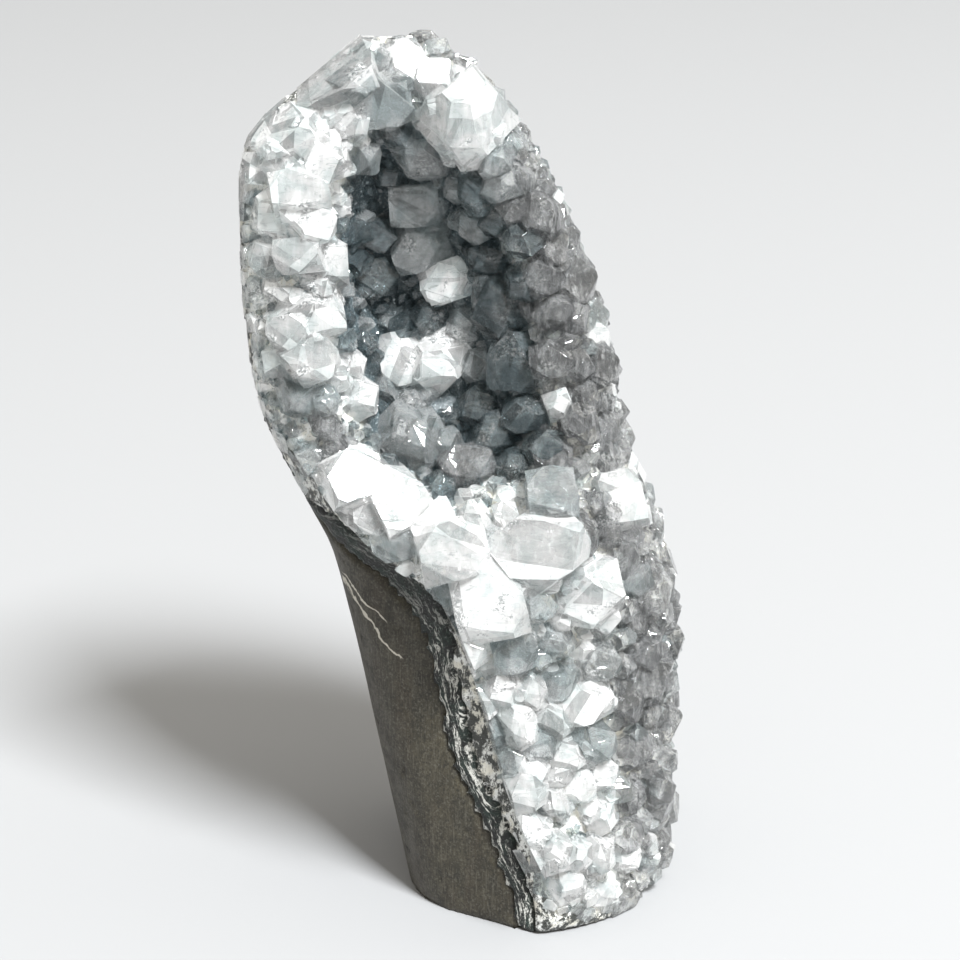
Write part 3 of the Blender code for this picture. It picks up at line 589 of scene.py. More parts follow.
def grow(pile, master, tip, axis, spin, half, length, ground, tint, chance):
    """Puts one copy of a master crystal into a pile, cut off in the bed and ground flush with the block."""
    form = bmesh.new()
    form.from_mesh(master)
    for _ in form.faces:
        chance.random()  # keeps the order of the draws
    stand = standing(axis, spin)
    wide = chance.uniform(0.85, 1.18)
    bmesh.ops.scale(form, vec=(half * wide, half / wide, half), verts=form.verts)
    if length < MASTER_LENGTH * half:
        slice_off(form, (0, 0, -length), (0, 0, -1))
    for vert in form.verts:
        vert.co = tip + stand @ vert.co
    if ground.trim(form):
        pile.add(form, tint, chance)
    form.free()


def set_attribute(piece, name, values, kind="POINT"):
    layer = piece.data.attributes.new(name, "FLOAT", kind)
    layer.data.foreach_set("value", values)


class Nodes:
    """Short calls for building the nodes of one material or group."""

    def __init__(self, tree):
        self.tree = tree

    def add(self, kind, inputs=None, **settings):
        node = self.tree.nodes.new(kind)
        for key, value in settings.items():
            setattr(node, key, value)
        for key, value in (inputs or {}).items():
            if isinstance(value, bpy.types.NodeSocket):
                self.tree.links.new(value, node.inputs[key])
            else:
                node.inputs[key].default_value = value
        return node

    def place(self, scale=(1, 1, 1), turn=(0, 0, 0)):
        coords = self.add("ShaderNodeTexCoord").outputs["Object"]
        return self.add("ShaderNodeMapping", {"Vector": coords, "Scale": scale, "Rotation": turn}).outputs[0]

    def noise(self, vector, scale, detail=3.0, roughness=0.55, distortion=0.0):
        settings = {"Vector": vector, "Scale": scale, "Detail": detail, "Roughness": roughness,
                    "Distortion": distortion}
        return self.add("ShaderNodeTexNoise", settings).outputs["Fac"]

    def step(self, value, low, high, to_low=0.0, to_high=1.0):
        settings = {"Value": value, "From Min": low, "From Max": high, "To Min": to_low, "To Max": to_high}
        return self.add("ShaderNodeMapRange", settings, interpolation_type="SMOOTHSTEP").outputs[0]

    def math(self, how, a, b=0.0):
        return self.add("ShaderNodeMath", {0: a, 1: b}, operation=how).outputs[0]

    def mix(self, share, a, b, how="MIX"):
        node = self.add("ShaderNodeMix", data_type="RGBA", blend_type=how)
        for socket, value in ((node.inputs[0], share), (node.inputs[6], a), (node.inputs[7], b)):
            if isinstance(value, bpy.types.NodeSocket):
                self.tree.links.new(value, socket)
            else:
                socket.default_value = value if not isinstance(value, tuple) or len(value) == 4 else (*value, 1)
        return node.outputs[2]

    def attribute(self, name):
        return self.add("ShaderNodeAttribute", attribute_name=name).outputs["Fac"]

    def bump(self, height, strength, distance):
        settings = {"Height": height, "Strength": strength, "Distance": distance}
        return self.add("ShaderNodeBump", settings).outputs[0]


def new_group(name, inputs, outputs):
    """A shader node group with named float inputs and outputs."""
    group = bpy.data.node_groups.new(name, "ShaderNodeTree")
    for label, default in inputs:
        socket = group.interface.new_socket(label, in_out="INPUT", socket_type="NodeSocketFloat")
        socket.default_value = default
    for label in outputs:
        group.interface.new_socket(label, in_out="OUTPUT", socket_type="NodeSocketFloat")
    nodes = Nodes(group)
    return group, nodes, nodes.add("NodeGroupInput").outputs, nodes.add("NodeGroupOutput").inputs


def crystal_surface_group():
    """Natural crystal faces: dark flecks and painted glints (white spots that stand for sparkling reflections) in
    patches, clouds, fine cracks and relief.
    """
    group, nodes, given, out = new_group(
        "crystal_surface", (("Flecks", 0.5),), ("Flecks", "Painted glints", "Clouds", "Frost", "Cracks", "Height"))
    links = group.links
    place = nodes.place()
    broad = nodes.noise(place, 150, 2, 0.6, 0.5)
    fine = nodes.noise(place, 1500, 2, 0.8)
    low = nodes.math("SUBTRACT", 0.70, nodes.math("MULTIPLY", given[0], 0.3))
    patches = nodes.step(broad, low, nodes.math("ADD", low, 0.1))
    links.new(nodes.math("MULTIPLY", patches, nodes.step(fine, 0.53, 0.57)), out["Flecks"])
    # Painted glints: white spots in the colour that stand for sparkling reflections.
    links.new(nodes.math("MULTIPLY", patches, nodes.step(fine, 0.43, 0.47, 1, 0)), out["Painted glints"])
    links.new(nodes.step(broad, 0.38, 0.56, 1, 0), out["Clouds"])
    links.new(nodes.step(broad, 0.56, 0.66), out["Frost"])
    strands = nodes.noise(nodes.place((1, 1, 3.5), (0.5, 0.3, 0)), 210, 1, 0.6, 0.8)
    cracks = nodes.step(nodes.math("ABSOLUTE", nodes.math("SUBTRACT", strands, 0.5)), 0.0, 0.018, 1, 0)
    links.new(cracks, out["Cracks"])
    rough = nodes.math("MULTIPLY", fine, nodes.math("ADD", nodes.math("MULTIPLY", patches, 0.8), 0.05))
    links.new(nodes.math("ADD", strands, rough), out["Height"])
    return group


def stone_grain_group():
    """Mottling, dark grains and pits of fine rock."""
    group, nodes, given, out = new_group("stone_grain", (("Size", 1.0),), ("Mottle", "Grains", "Height"))
    place = nodes.place()
    links = group.links
    scaled = nodes.add("ShaderNodeVectorMath", {0: place, 3: given[0]}, operation="SCALE").outputs[0]
    links.new(nodes.noise(scaled, 260, 5, 0.65), out["Mottle"])
    grains = nodes.noise(scaled, 1700, 3, 0.7)
    links.new(grains, out["Grains"])
    links.new(nodes.math("ADD", grains, nodes.math("MULTIPLY", nodes.noise(scaled, 620, 4), 0.7)), out["Height"])
    return group


def new_material(name):
    material = bpy.data.materials.new(name)
    material.use_nodes = True
    return material, Nodes(material.node_tree), material.node_tree.nodes["Principled BSDF"]


def connect(nodes, shader, **inputs):
    names = {"base": "Base Color", "rough": "Roughness", "normal": "Normal"}
    for key, value in inputs.items():
        nodes.tree.links.new(value, shader.inputs[names[key]])


APOPHYLLITE_IOR = 1.535
CRACK_COLOR, FLECK_COLOR = (0.3, 0.34, 0.34), (0.2, 0.23, 0.23)
PALE_STREAK, DARK_STREAK = (0.95, 0.96, 0.96), (0.26, 0.27, 0.275)


def crystal_material(name, clear, cloud, transmission, rough, flecks, streaks, glow, surface):
    """Clear to milky crystal: plain transmission, clouds, cracks, flecks, painted glints, upright streaks and rougher
    patches.
    Its glow stands for the light that scatters inside the milky crystals."""
    material, nodes, shader = new_material(name)
    shader.inputs["IOR"].default_value = APOPHYLLITE_IOR
    shader.inputs["Transmission Weight"].default_value = transmission
    face = nodes.add("ShaderNodeGroup", {"Flecks": flecks}, node_tree=surface).outputs
    color = nodes.mix(face["Clouds"], clear, cloud)
    tint = nodes.attribute("tint")
    grey = nodes.add("ShaderNodeCombineColor", {0: tint, 1: tint, 2: tint}).outputs[0]
    color = nodes.mix(1.0, color, grey, "MULTIPLY")
    color = nodes.mix(nodes.math("MULTIPLY", face["Cracks"], 0.5), color, CRACK_COLOR)
    strands = nodes.noise(nodes.place((1, 1, 0.09)), 900, 3, 0.6)
    color = nodes.mix(nodes.step(strands, 0.54, 0.62, 0, streaks), color, PALE_STREAK)
    color = nodes.mix(nodes.step(strands, 0.38, 0.46, streaks, 0), color, DARK_STREAK)
    color = nodes.mix(nodes.math("MULTIPLY", face["Flecks"], 0.7), color, FLECK_COLOR)
    # Painted glints: white spots in the base colour stand for sparkling reflections on the faces.
    color = nodes.mix(face["Painted glints"], color, (1.0, 1.0, 1.0))
    shader.inputs["Emission Strength"].default_value = glow
    nodes.tree.links.new(color, shader.inputs["Emission Color"])
    roughness = nodes.step(face["Frost"], 0, 1, rough[0], rough[1])
    connect(nodes, shader, base=color, rough=roughness, normal=nodes.bump(face["Height"], 0.45, 0.0003))
    return material


def bed_material(name, white, slate, cream, glow, grain):
    """Sugary common base of the crystals: white to cream, speckled where it is cut, and dark in the hollow, partly for
    the dark rind beneath and partly as painted shade of the recess and the gaps between its crystals.
    Its glow stands for the light that the clear crystals let through to it."""
    material, nodes, shader = new_material(name)
    stone = nodes.add("ShaderNodeGroup", node_tree=grain).outputs
    dark = nodes.attribute("shade")
    color = nodes.mix(nodes.step(stone["Mottle"], 0.45, 0.6), white, cream)
    color = nodes.mix(nodes.step(stone["Grains"], 0.56, 0.64), color, (0.30, 0.30, 0.28))
    # Dark in the hollow: partly the dark rind beneath, partly painted shade of the recess.
    color = nodes.mix(dark, color, slate)
    # Painted glints: pale blue-grey spots on the dark bed in the hollow stand for sparkling reflections.
    painted_glints = nodes.step(stone["Grains"], 0.6, 0.68, 0, 0.7)
    color = nodes.mix(nodes.math("MULTIPLY", dark, painted_glints), color, (0.5, 0.56, 0.58))
    cut = nodes.attribute("cut")
    specks = nodes.step(nodes.noise(nodes.place((1, 1, 0.7)), 420, 6, 0.8), 0.47, 0.53)
    color = nodes.mix(nodes.math("MULTIPLY", cut, specks), color, (0.04, 0.043, 0.038))
    shader.inputs["Emission Strength"].default_value = glow
    nodes.tree.links.new(nodes.mix(cut, color, (0, 0, 0)), shader.inputs["Emission Color"])
    connect(nodes, shader, base=color, rough=nodes.step(stone["Grains"], 0.35, 0.7, 0.15, 0.5),
            normal=nodes.bump(stone["Height"], 0.6, 0.0004))
    return material


def basalt_material(name, rock, dark, vein, grain):
    """Ground and brushed rock with olive mottling, scratches and the drawn pale veins beside the rind."""
    material, nodes, shader = new_material(name)
    stone = nodes.add("ShaderNodeGroup", node_tree=grain).outputs
    lean = (0, math.radians(-11), 0)
    scratches = nodes.noise(nodes.place((1, 1, 0.05), lean), 3000, 3, 0.7)
    broad = nodes.noise(nodes.place((1, 1, 0.12), lean), 160, 4, 0.6)
    color = nodes.mix(nodes.step(stone["Mottle"], 0.36, 0.64), rock, dark)
    color = nodes.mix(nodes.step(broad, 0.45, 0.65, 0, 0.6), color, (0.042, 0.032, 0.019))
    color = nodes.mix(nodes.step(scratches, 0.52, 0.66, 0, 0.6), color, (0.095, 0.087, 0.067))
    color = nodes.mix(nodes.step(scratches, 0.34, 0.46, 0.6, 0), color, (0.02, 0.017, 0.012))
    color = nodes.mix(nodes.step(stone["Grains"], 0.55, 0.62, 0, 0.8), color, (0.014, 0.012, 0.009))
    color = nodes.mix(nodes.step(stone["Grains"], 0.38, 0.44, 0.6, 0), color, (0.11, 0.105, 0.085))
    wander = nodes.step(nodes.noise(nodes.place(), 500, 3), 0.3, 0.7, -0.22, 0.22)
    for k, wide in ((0, 0.13), (1, 0.1)):
        off = nodes.math("ABSOLUTE", nodes.math("ADD", nodes.attribute("vein_%d" % k), wander))
        line = nodes.math("MULTIPLY", nodes.step(off, wide, wide * 2, 1, 0), nodes.attribute("near_%d" % k))
        color = nodes.mix(line, color, vein)
    height = nodes.math("ADD", nodes.math("MULTIPLY", scratches, 0.6),
                        nodes.math("MULTIPLY", stone["Height"], 0.4))
    connect(nodes, shader, base=color, rough=nodes.step(stone["Mottle"], 0.3, 0.7, 0.4, 0.6),
            normal=nodes.bump(height, 0.4, 0.00025))
    return material


def rind_material(name, green, black, pale, grain):
    """Dark rind, streaked black and white along the rock and mottled green where it is thick."""
    material, nodes, shader = new_material(name)
    stone = nodes.add("ShaderNodeGroup", node_tree=grain).outputs
    layer, place = nodes.attribute("layer"), nodes.place()
    height = nodes.add("ShaderNodeSeparateXYZ", {0: place}).outputs[2]
    wander = nodes.math("ADD", layer, nodes.math("MULTIPLY", nodes.noise(place, 120, 3, 0.6), 1.6))
    along_rind = nodes.add("ShaderNodeCombineXYZ", {0: wander, 1: nodes.math("MULTIPLY", height, 55)}).outputs[0]
    streaks = nodes.noise(along_rind, 2.3, 5, 0.72)
    color = nodes.mix(nodes.step(stone["Mottle"], 0.42, 0.6), black, green)
    color = nodes.mix(nodes.step(stone["Grains"], 0.56, 0.62, 0, 0.65), color, (0.16, 0.18, 0.165))
    whiten = nodes.math("MULTIPLY", nodes.step(streaks, 0.52, 0.57), nodes.attribute("banded"))
    color = nodes.mix(whiten, color, pale)
    blacken = nodes.math("MULTIPLY", nodes.step(nodes.noise(place, 1500, 3, 0.7), 0.5, 0.6), 0.75)
    color = nodes.mix(blacken, color, black)
    connect(nodes, shader, base=color, rough=nodes.step(stone["Mottle"], 0.3, 0.7, 0.3, 0.6),
            normal=nodes.bump(stone["Height"], 0.8, 0.0005))
    return material


def plain_material(name, color, roughness):
    material, nodes, shader = new_material(name)
    shader.inputs["Base Color"].default_value = (*color, 1)
    shader.inputs["Roughness"].default_value = roughness
    return material


def dress(piece, material):
    """Gives a piece its material and its body."""
    piece.data.materials.clear()
    piece.data.materials.append(material)
    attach(piece, "root")


def color_setting(name, description, default):
    return bpy.props.FloatVectorProperty(name=name, description=description, subtype="COLOR", size=3, default=default)


class DruseRock(bpy.types.PropertyGroup):
    """Ground basalt and rind."""

    basalt_color: color_setting("Basalt", "Colour of the ground rock", (0.05, 0.0435, 0.0265))
    dark_color: color_setting("Basalt, dark", "Darker mottling of the rock", (0.026, 0.0235, 0.0155))
    vein_color: color_setting("Veins", "Thin pale veins", (0.55, 0.52, 0.45))
    rind_color: color_setting("Rind", "Green of the rind", (0.014, 0.026, 0.021))
    grid_size: bpy.props.FloatProperty(
        name="Rock detail", description="Size of the rock's mesh faces, millimetres", default=1.0, min=0.4, max=3)
    bed_detail: bpy.props.FloatProperty(
        name="Bed detail", description="Size of the crystal bed's mesh faces, millimetres", default=1.1, min=0.5, max=3)
    pit_depth: bpy.props.FloatProperty(
        name="Pit depth", description="Depth of the small pits in the ground rock, millimetres", default=0.45, min=0)


class DruseCrystals(bpy.types.PropertyGroup):
    """Sizes, numbers and colours of the crystals."""

    wear: bpy.props.FloatProperty(
        name="Edge wear", description="Width of the worn edges, as a share of half the crystal's width",
        default=0.05, min=0, max=0.2)
    fill_small: bpy.props.FloatProperty(
        name="Smallest filler", description="Width of the smallest filling crystals, millimetres", default=2.6)
    fill_large: bpy.props.FloatProperty(
        name="Largest filler", description="Width of the largest filling crystals, millimetres", default=6.5)
    fill_attempts: bpy.props.IntProperty(
        name="Filler attempts", description="Places tried for filling crystals; those too near others are passed over",
        default=5800, min=0)
    tiny_count: bpy.props.IntProperty(
        name="Tiny crystals", description="Places tried for tiny crystals", default=4500, min=0)
    clear_color: color_setting("Clear", "Colour of the clear crystals", (0.93, 0.965, 0.97))
    # Crystals in the hollow: their darker blue-grey is partly their tint and partly painted shade of the hollow.
    slate_color: color_setting("Slate", "Colour of the crystals in the hollow", (0.66, 0.775, 0.81))
    smoky_color: color_setting("Smoky", "Colour of the smoky crystals", (0.88, 0.89, 0.9))
    milk_color: color_setting("Milky", "Colour of the milky crystals", (1.0, 1.0, 0.995))


class DruseStage(bpy.types.PropertyGroup):
    """Floor, light and camera."""

    floor_color: color_setting("Floor", "Colour of the floor and backdrop", (0.27, 0.273, 0.279))
    key_power: bpy.props.FloatProperty(
        name="Key light", description="Power of the main light", default=475.0, unit="POWER")
    key_size: bpy.props.FloatProperty(
        name="Key size", description="Width of the main light", default=1.1, unit="LENGTH")
    sky_strength: bpy.props.FloatProperty(
        name="Room", description="Strength of the even light all round", default=0.25)
    panel_strength: bpy.props.FloatProperty(
        name="Room, upper right", description="Strength of the light from above and from the right", default=1.15)


def choices():
    scene = bpy.context.scene
    return scene.druse_rock, scene.druse_crystals, scene.druse_stage


SHARED = {}


def shared(name, make):
    """Something that several operators use, made once."""
    if name not in SHARED:
        SHARED[name] = make()
    return SHARED[name]


def surface_group():
    return shared("surface", crystal_surface_group)


def grain_group():
    return shared("grain", stone_grain_group)


def ground():
    return shared("ground", Ground)


def bed():
    return shared("bed", lambda: surface_tree(()))


def remeshed(piece, size):
    """Evens out a piece's mesh into small faces and softens its cut edges a little."""
    apply_modifier(piece, "REMESH", mode="VOXEL", voxel_size=size * MM, use_smooth_shade=True)
    apply_modifier(piece, "SMOOTH", factor=0.5, iterations=2)


def layer_body(name, bottom, front, back, gap, detail):
    """Fine mesh of what lies between two layers of the druse, inside the ground faces."""
    body = ground_block(name, bottom)
    combine(body, rock_behind(name + "_front", front, gap), "INTERSECT")
    if back:
        combine(body, rock_behind(name + "_back", back), "DIFFERENCE")
    remeshed(body, detail)
    return body


def stand_in(body, material, node):
    """Dresses a body and hides the node of the solid model that it stands in for."""
    dress(body, material)
    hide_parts(node)


def roughen(piece, relief, floor):
    """Moves every point along its normal by the relief at its place, and keeps the underside flat."""
    mesh = piece.data
    count = len(mesh.vertices)
    places, normals = np.empty(count * 3), np.empty(count * 3)
    mesh.vertices.foreach_get("co", places)
    mesh.vertices.foreach_get("normal", normals)
    places, normals = places.reshape(-1, 3), normals.reshape(-1, 3)
    for k in range(count):
        point = Vector(places[k]) / MM
        if point.z < floor + 0.7:
            places[k][2] = max(places[k][2], floor * MM) if point.z > floor + 0.45 else floor * MM
            continue
        places[k] += normals[k] * relief(point) * MM
    mesh.vertices.foreach_set("co", places.reshape(-1))
    mesh.update()


class DRUSE_OT_basalt(bpy.types.Operator):
    """Build the ground basalt"""

    bl_idname = "druse.basalt"
    bl_label = "Ground basalt"

    def execute(self, context):
        rock, _, _ = choices()
        body = layer_body("ground_basalt", 0, (CRUST, RIND), None, LAYER_GAP, rock.grid_size)

        def relief(point):
            pits = noise.noise(point * 0.42) + 0.5 * noise.noise(point * 0.9 + Vector((7, 0, 0)))
            soft = 0.06 * noise.noise(point * 0.12)
            return soft - rock.pit_depth * ease((pits - 0.52) / 0.25)

        roughen(body, relief, 0)
        _, look, _ = drawing_ray(0, 0)
        for k, line in enumerate(VEINS):
            found = [beside_line(drawn_at(v.co / MM), line) for v in body.data.vertices]
            seen = [float(v.normal.dot(look) < 0) for v in body.data.vertices]
            set_attribute(body, "vein_%d" % k, [distance for distance, _ in found])
            set_attribute(body, "near_%d" % k, [near * front for (_, near), front in zip(found, seen)])
        material = basalt_material("ground_basalt", tuple(rock.basalt_color), tuple(rock.dark_color),
                                   tuple(rock.vein_color), grain_group())
        stand_in(body, material, "basalt_matrix")
        return {"FINISHED"}


class DRUSE_OT_rind(bpy.types.Operator):
    """Build the dark banded rind between rock and crystals"""

    bl_idname = "druse.rind"
    bl_label = "Banded rind"

    def execute(self, context):
        rock, _, _ = choices()
        body = layer_body("banded_rind", EDGE_LIFT, (CRUST,), (CRUST, RIND), LAYER_GAP, rock.grid_size)
        inner, _ = surface_tree((CRUST, RIND))
        outer, _ = surface_tree((CRUST,))

        def relief(point):
            return 0.22 * noise.noise(point * 0.9) + 0.12 * noise.noise(point * 2.1)

        roughen(body, relief, EDGE_LIFT)
        layers, banded = [], []
        for vert in body.data.vertices:
            point = vert.co / MM
            front, back = outer.find_nearest(point)[3], inner.find_nearest(point)[3]
            layers.append(front / max(front + back, 0.1) * 3.0)
            banded.append(1 - 0.75 * ease((point.z - 66) / 12) * ease((100 - point.z) / 10))
        set_attribute(body, "layer", layers)
        set_attribute(body, "banded", banded)
        material = rind_material("banded_rind", tuple(rock.rind_color), (0.004, 0.005, 0.0045), (0.6, 0.6, 0.56),
                                 grain_group())
        stand_in(body, material, "celadonite_rind")
        return {"FINISHED"}


def darkness(point):
    """0 where the bed is white, 1 in the dark hollow, whose dark is partly the rind beneath and partly painted shade.
    """
    if point.z < SHELF_HEIGHT:
        return 0.0
    return ease((hollow_depth(point.x, point.z, 0) - 4) / 8)


class DRUSE_OT_bed(bpy.types.Operator):
    """Build the sugary base that the crystals share"""

    bl_idname = "druse.bed"
    bl_label = "Crystal bed"

    def execute(self, context):
        rock, _, _ = choices()
        body = layer_body("crystal_bed", EDGE_LIFT, (), (CRUST,), 0, rock.bed_detail)

        def outside(point):
            return ease((-ground().beyond(point)[0] - 0.25) / 0.8)

        def relief(point):
            near = noise.voronoi(point * 0.33)[0]
            lumps = 0.9 * (near[1] - near[0]) - 0.5 + 0.25 * noise.noise(point * 1.3)
            return lumps * outside(point)

        roughen(body, relief, EDGE_LIFT)
        shades, cuts = [], []
        for vert in body.data.vertices:
            point = vert.co / MM
            cuts.append(1 - outside(point))
            shades.append(darkness(point))
        set_attribute(body, "shade", shades)
        set_attribute(body, "cut", cuts)
        # The second colour is the dark of the hollow: partly the rind beneath, partly painted shade.
        material = bed_material("crystal_bed", (0.78, 0.79, 0.77), (0.05, 0.066, 0.072), (0.7, 0.68, 0.6), 0.2,
                                grain_group())
        stand_in(body, material, "crystal_crust")
        return {"FINISHED"}


def crystal_finish(tone):
    _, crystals, _ = choices()
    clear, slate = tuple(crystals.clear_color), tuple(crystals.slate_color)
    smoky, milk = tuple(crystals.smoky_color), tuple(crystals.milk_color)
    finishes = {
        "w": ("milky_crystal", milk, (0.8, 0.85, 0.845), 0.66, (0.01, 0.22), 0.35, 0.15, 0.13),
        "c": ("clear_crystal", clear, (0.7, 0.78, 0.79), 0.86, (0.008, 0.18), 0.45, 0.18, 0.035),
        # Slate finish: a clear crystal made darker and bluer, partly its tint and partly painted shade of the hollow.
        "s": ("slate_crystal", slate, (0.36, 0.45, 0.485), 0.92, (0.005, 0.1), 0.6, 0.15, 0.0),
        "m": ("smoky_crystal", smoky, (0.58, 0.59, 0.6), 0.9, (0.005, 0.1), 0.45, 0.75, 0.02),
    }
    return shared(tone, lambda: crystal_material(*finishes[tone], surface_group()))


TONE_NAMES = {"w": "milky", "c": "clear", "s": "slate", "m": "smoky"}


def new_piles():
    return {tone: Pile() for tone in TONE_NAMES}


def finish_piles(piles, kind):
    for tone, pile in piles.items():
        if pile.faces:
            piece = pile.finish(TONE_NAMES[tone] + "_" + kind)
            dress(piece, crystal_finish(tone))


SEATS = []


class DRUSE_OT_large(bpy.types.Operator):
    """Grow the large crystals, each with smaller ones on its flanks"""

    bl_idname = "druse.large"
    bl_label = "Large crystals"

    def execute(self, context):
        _, crystals, _ = choices()
        chance = random.Random(LARGE_SEED)
        tree, points = bed()
        masters = Masters(crystals.wear, stepped=True, variants=4)
        piles = new_piles()
        for row in DRAWN:
            across, up, width, reach, flat, _, _, spin, tone = row
            tip, axis, place = drawn_place(tree, points, row)
            half = width / 2
            length = reach + 2 + width * 0.1
            tint = chance.uniform(0.78, 1.0)
            grow(piles[tone], masters.nearest(flat, chance), tip, axis, spin, half, length, ground(), tint, chance)
            SEATS.append((place, half))
            sides = standing(axis, spin).col
            for _ in range(4 if width > 12 else 3 if width > 7 else 2):
                side = sides[0] * chance.uniform(-1, 1) + sides[1] * chance.uniform(-1, 1)
                small = half * chance.uniform(0.4, 0.8)
                lower = chance.uniform(0.02, 0.4) * reach
                grow(piles[tone], masters.nearest(flat * chance.uniform(0.7, 1.1), chance),
                     tip + side * (half - small) * 1.25 - axis * lower, axis, spin, small, length - lower, ground(),
                     tint * chance.uniform(0.92, 1.0), chance)
            for _ in range(3 if width > 12 else 2 if width > 8 else 1):
                side = Matrix.Rotation(chance.uniform(0, math.tau), 3, axis) @ axis.orthogonal().normalized()
                small = half * chance.uniform(0.3, 0.55)
                lower = chance.uniform(0.35, 0.8) * reach
                lean = (axis + side * chance.uniform(0.1, 0.5)).normalized()
                own_spin = spin if chance.random() < 0.5 else chance.uniform(0, 90)
                grow(piles[tone], masters.nearest(chance.choice((flat, 0.7, 1.2)), chance),
                     tip + side * half * chance.uniform(0.75, 1.15) - axis * lower, lean, own_spin, small,
                     length - lower + 1, ground(), tint * chance.uniform(0.92, 1.0), chance)
        masters.clear()
        finish_piles(piles, "large_crystals")
        return {"FINISHED"}


# Turns from which fillers are smoky, also high up, and from which they are flat and mixed; and the shelf's height.
SMOKY_TURN, HIGH_SMOKY_TURN, SIDE_TURN = 48, 30, 70
SHELF_HEIGHT = 92


def tone_at(turn, z, chance, pale="wwwcc"):
    """Finish of a filling crystal by where it stands."""
    point = bed_point(turn, z, 0)
    # In the hollow, crystals take the darker slate finish, which is partly painted shade of the hollow.
    if darkness(point) > 0.4:
        return chance.choice("sssscc")
    if turn > SMOKY_TURN or (z > SHELF_HEIGHT and turn > HIGH_SMOKY_TURN):
        return chance.choice("mmmmcw" if turn > SIDE_TURN else "mmmmc")
    return chance.choice(pale)


def facing(turn, z):
    """Outward direction of the bed."""
    around = bed_point(turn + 1.5, z, 0) - bed_point(turn - 1.5, z, 0)
    upward = bed_point(turn, z + 1.5, 0) - bed_point(turn, z - 1.5, 0)
    return around.cross(upward).normalized()


def seat(turn, z):
    """Place on the bed and the outward direction there. Past the last turn it lies on the straight right flank,
    a millimetre further back for each degree."""
    if turn <= TURN_RIGHT:
        return bed_point(turn, z, 0), facing(turn, z)
    return bed_point(TURN_RIGHT, z, 0) + Vector((0, turn - TURN_RIGHT, 0)), Vector((1, 0.1, 0))


def random_seat(chance):
    """A random turn and height on the bed, the place there and the outward direction."""
    turn, z = chance.uniform(TURN_LEFT, TURN_RIGHT + FLANK_DEPTH), chance.uniform(SEAT_LOW, SEAT_HIGH)
    return turn, z, *seat(turn, z)


class DRUSE_OT_fill(bpy.types.Operator):
    """Grow middling crystals over the rest of the bed"""

    bl_idname = "druse.fill"
    bl_label = "Filling crystals"

    def execute(self, context):
        _, crystals, _ = choices()
        chance = random.Random(FILL_SEED)
        masters = Masters(crystals.wear, stepped=False, variants=2)
        piles = new_piles()
        taken = list(SEATS)
        for _ in range(crystals.fill_attempts):
            turn, z, place, outward = random_seat(chance)
            share = chance.random() ** 1.6
            width = crystals.fill_small + (crystals.fill_large - crystals.fill_small) * share
            if any((place - other).length < half * 0.72 + width * 0.36 for other, half in taken):
                continue
            if ground().beyond(place)[0] > 0.5:
                continue
            sway = Vector([chance.uniform(-0.45, 0.45) for _ in range(3)])
            axis = (outward + sway).normalized()
            beside = turn > SIDE_TURN
            if turn > SMOKY_TURN:
                width *= 1.3
            reach = width * (chance.uniform(0.25, 0.5) if beside else chance.uniform(0.5, 0.95))
            tone = tone_at(turn, z, chance)
            grow(piles[tone], masters.nearest(chance.uniform(0.2, 1.6), chance), place + axis * reach, axis,
                 chance.uniform(0, 90), width / 2, reach + 2, ground(), chance.uniform(0.8, 1.0), chance)
            taken.append((place, width / 2))
        masters.clear()
        finish_piles(piles, "filling_crystals")
        return {"FINISHED"}


class DRUSE_OT_tiny(bpy.types.Operator):
    """Scatter tiny crystals between the others"""

    bl_idname = "druse.tiny"
    bl_label = "Tiny crystals"

    def execute(self, context):
        _, crystals, _ = choices()
        chance = random.Random(TINY_SEED)
        masters = Masters(crystals.wear, stepped=False, variants=1, plain=True)
        piles = new_piles()
        for _ in range(crystals.tiny_count):
            turn, z, place, outward = random_seat(chance)
            if ground().beyond(place)[0] > -0.2:
                continue
            axis = (outward + Vector([chance.uniform(-0.8, 0.8) for _ in range(3)])).normalized()
            half = chance.uniform(0.45, 1.15)
            reach = half * chance.uniform(0.8, 1.6)
            tone = tone_at(turn, z, chance, "wcsss")
            grow(piles[tone], masters.nearest(chance.uniform(0.2, 1.6), chance), place + axis * reach, axis,
                 chance.uniform(0, 90), half, reach + 0.8, ground(), chance.uniform(0.85, 1.0), chance)
        masters.clear()
        finish_piles(piles, "tiny_crystals")
        return {"FINISHED"}


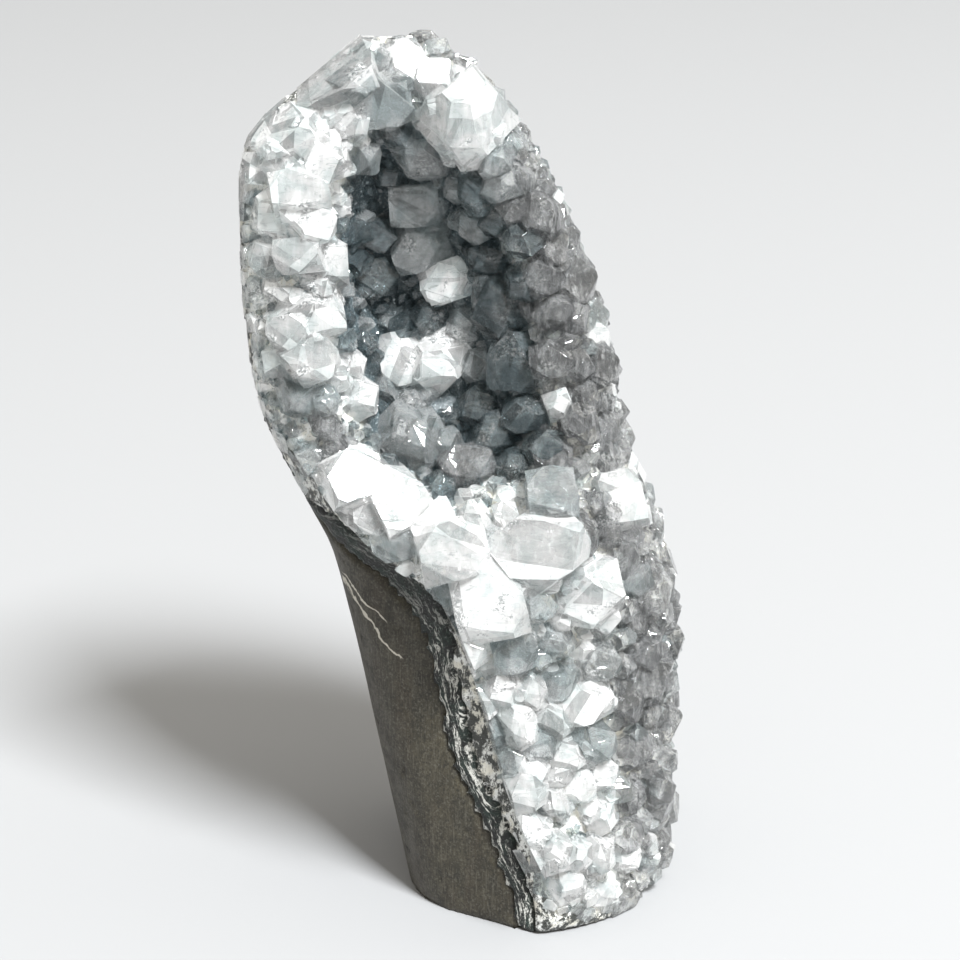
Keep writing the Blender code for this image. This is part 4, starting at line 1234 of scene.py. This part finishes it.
class DRUSE_OT_stage(bpy.types.Operator):
    """Set up the floor, backdrop, lights and camera"""

    bl_idname = "druse.stage"
    bl_label = "Stage"

    def execute(self, context):
        _, _, stage = choices()
        clear_selection()
        bpy.ops.mesh.primitive_plane_add(size=FLOOR_SIZE, location=(0, FLOOR_SHIFT, 0))
        floor = context.object
        floor.name = "floor_and_backdrop"
        bpy.ops.object.transform_apply(location=True)
        bpy.ops.object.mode_set(mode="EDIT")
        bpy.ops.mesh.select_mode(type="EDGE")
        self.pick_far_edge(floor)
        bpy.ops.mesh.extrude_region_move(TRANSFORM_OT_translate={"value": (0, 0, BACKDROP_HEIGHT)})
        self.pick_far_edge(floor)
        bpy.ops.mesh.bevel(offset=BACKDROP_BEND, segments=BEND_STEPS, affect="EDGES")
        bpy.ops.object.mode_set(mode="OBJECT")
        bpy.ops.object.shade_smooth()
        floor.data.materials.append(plain_material("pale_floor", tuple(stage.floor_color), 0.7))

        middle = Vector(VIEW_TARGET) * MM
        key_place = middle + Vector(KEY_DIRECTION).normalized() * KEY_DISTANCE
        self.lamp("key", key_place, middle, stage.key_size, stage.key_power, KEY_COLOR)

        world = bpy.data.worlds.new("soft_room")
        world.use_nodes = True
        room = Nodes(world.node_tree)
        toward = room.add("ShaderNodeSeparateXYZ", {0: room.add("ShaderNodeTexCoord").outputs["Generated"]}).outputs
        ceiling = room.step(toward[2], 0.35, 0.95, 0, stage.panel_strength)
        window = room.math("MULTIPLY", room.step(toward[0], 0.3, 0.8, 0, stage.panel_strength * 0.8),
                           room.step(toward[2], 0.0, 0.25))
        bright = room.math("ADD", room.math("ADD", ceiling, window), stage.sky_strength)
        plain = room.add("ShaderNodeLightPath").outputs["Is Camera Ray"]
        sky = world.node_tree.nodes["Background"]
        sky.inputs["Color"].default_value = ROOM_COLOR
        keep = room.add("ShaderNodeMix", {0: plain, 2: bright, 3: 1.0}, data_type="FLOAT").outputs[0]
        world.node_tree.links.new(keep, sky.inputs["Strength"])
        context.scene.world = world
        context.scene.view_settings.view_transform = "Standard"

        tilt = math.radians(VIEW_ANGLE)
        camera = bpy.data.cameras.new("camera")
        camera.sensor_width, camera.lens, camera.clip_start = CAMERA_SENSOR, CAMERA_LENS, CAMERA_CLIP
        eye = bpy.data.objects.new("camera", camera)
        eye.location = middle + Vector((0, -math.cos(tilt), math.sin(tilt))) * VIEW_DISTANCE * MM
        eye.rotation_euler = (math.radians(90 - VIEW_ANGLE), 0, 0)
        context.scene.collection.objects.link(eye)
        context.scene.camera = eye
        return {"FINISHED"}

    def pick_far_edge(self, floor):
        bpy.ops.mesh.select_all(action="DESELECT")
        form = bmesh.from_edit_mesh(floor.data)
        for edge in form.edges:
            edge.select_set(all(v.co.y > FAR_EDGE and v.co.z < 0.01 for v in edge.verts))
        bmesh.update_edit_mesh(floor.data)

    def lamp(self, name, place, target, size, power, color):
        light = bpy.data.lights.new(name, "AREA")
        light.shape, light.size, light.energy, light.color = "SQUARE", size, power, color
        made = bpy.data.objects.new(name, light)
        made.location = place
        made.rotation_euler = (target - place).to_track_quat("-Z", "Y").to_euler()
        bpy.context.scene.collection.objects.link(made)


OPERATORS = (DRUSE_OT_basalt, DRUSE_OT_rind, DRUSE_OT_bed, DRUSE_OT_large, DRUSE_OT_fill, DRUSE_OT_tiny,
             DRUSE_OT_stage)
GROUPS = {"druse_rock": DruseRock, "druse_crystals": DruseCrystals, "druse_stage": DruseStage}


class DRUSE_PT_sidebar(bpy.types.Panel):
    """Lists the pieces of the druse in the 3D view's sidebar"""

    bl_label = "Druse"
    bl_idname = "DRUSE_PT_sidebar"
    bl_space_type = "VIEW_3D"
    bl_region_type = "UI"
    bl_category = "Druse"

    def draw(self, context):
        for group in GROUPS:
            settings = getattr(context.scene, group)
            for name in settings.bl_rna.properties.keys():
                if name not in ("rna_type", "name"):
                    self.layout.prop(settings, name)
        for operator in OPERATORS:
            self.layout.operator(operator.bl_idname)


def register():
    for kind in (*GROUPS.values(), *OPERATORS, DRUSE_PT_sidebar):
        bpy.utils.register_class(kind)
    for name, kind in GROUPS.items():
        setattr(bpy.types.Scene, name, bpy.props.PointerProperty(type=kind))


def unregister():
    for name in GROUPS:
        delattr(bpy.types.Scene, name)
    for kind in reversed((*GROUPS.values(), *OPERATORS, DRUSE_PT_sidebar)):
        bpy.utils.unregister_class(kind)


def main():
    register()
    bpy.ops.druse.basalt()
    bpy.ops.druse.rind()
    bpy.ops.druse.bed()
    bpy.ops.druse.large()
    bpy.ops.druse.fill()
    bpy.ops.druse.tiny()
    bpy.ops.druse.stage()


if __name__ == "__main__":
    main()
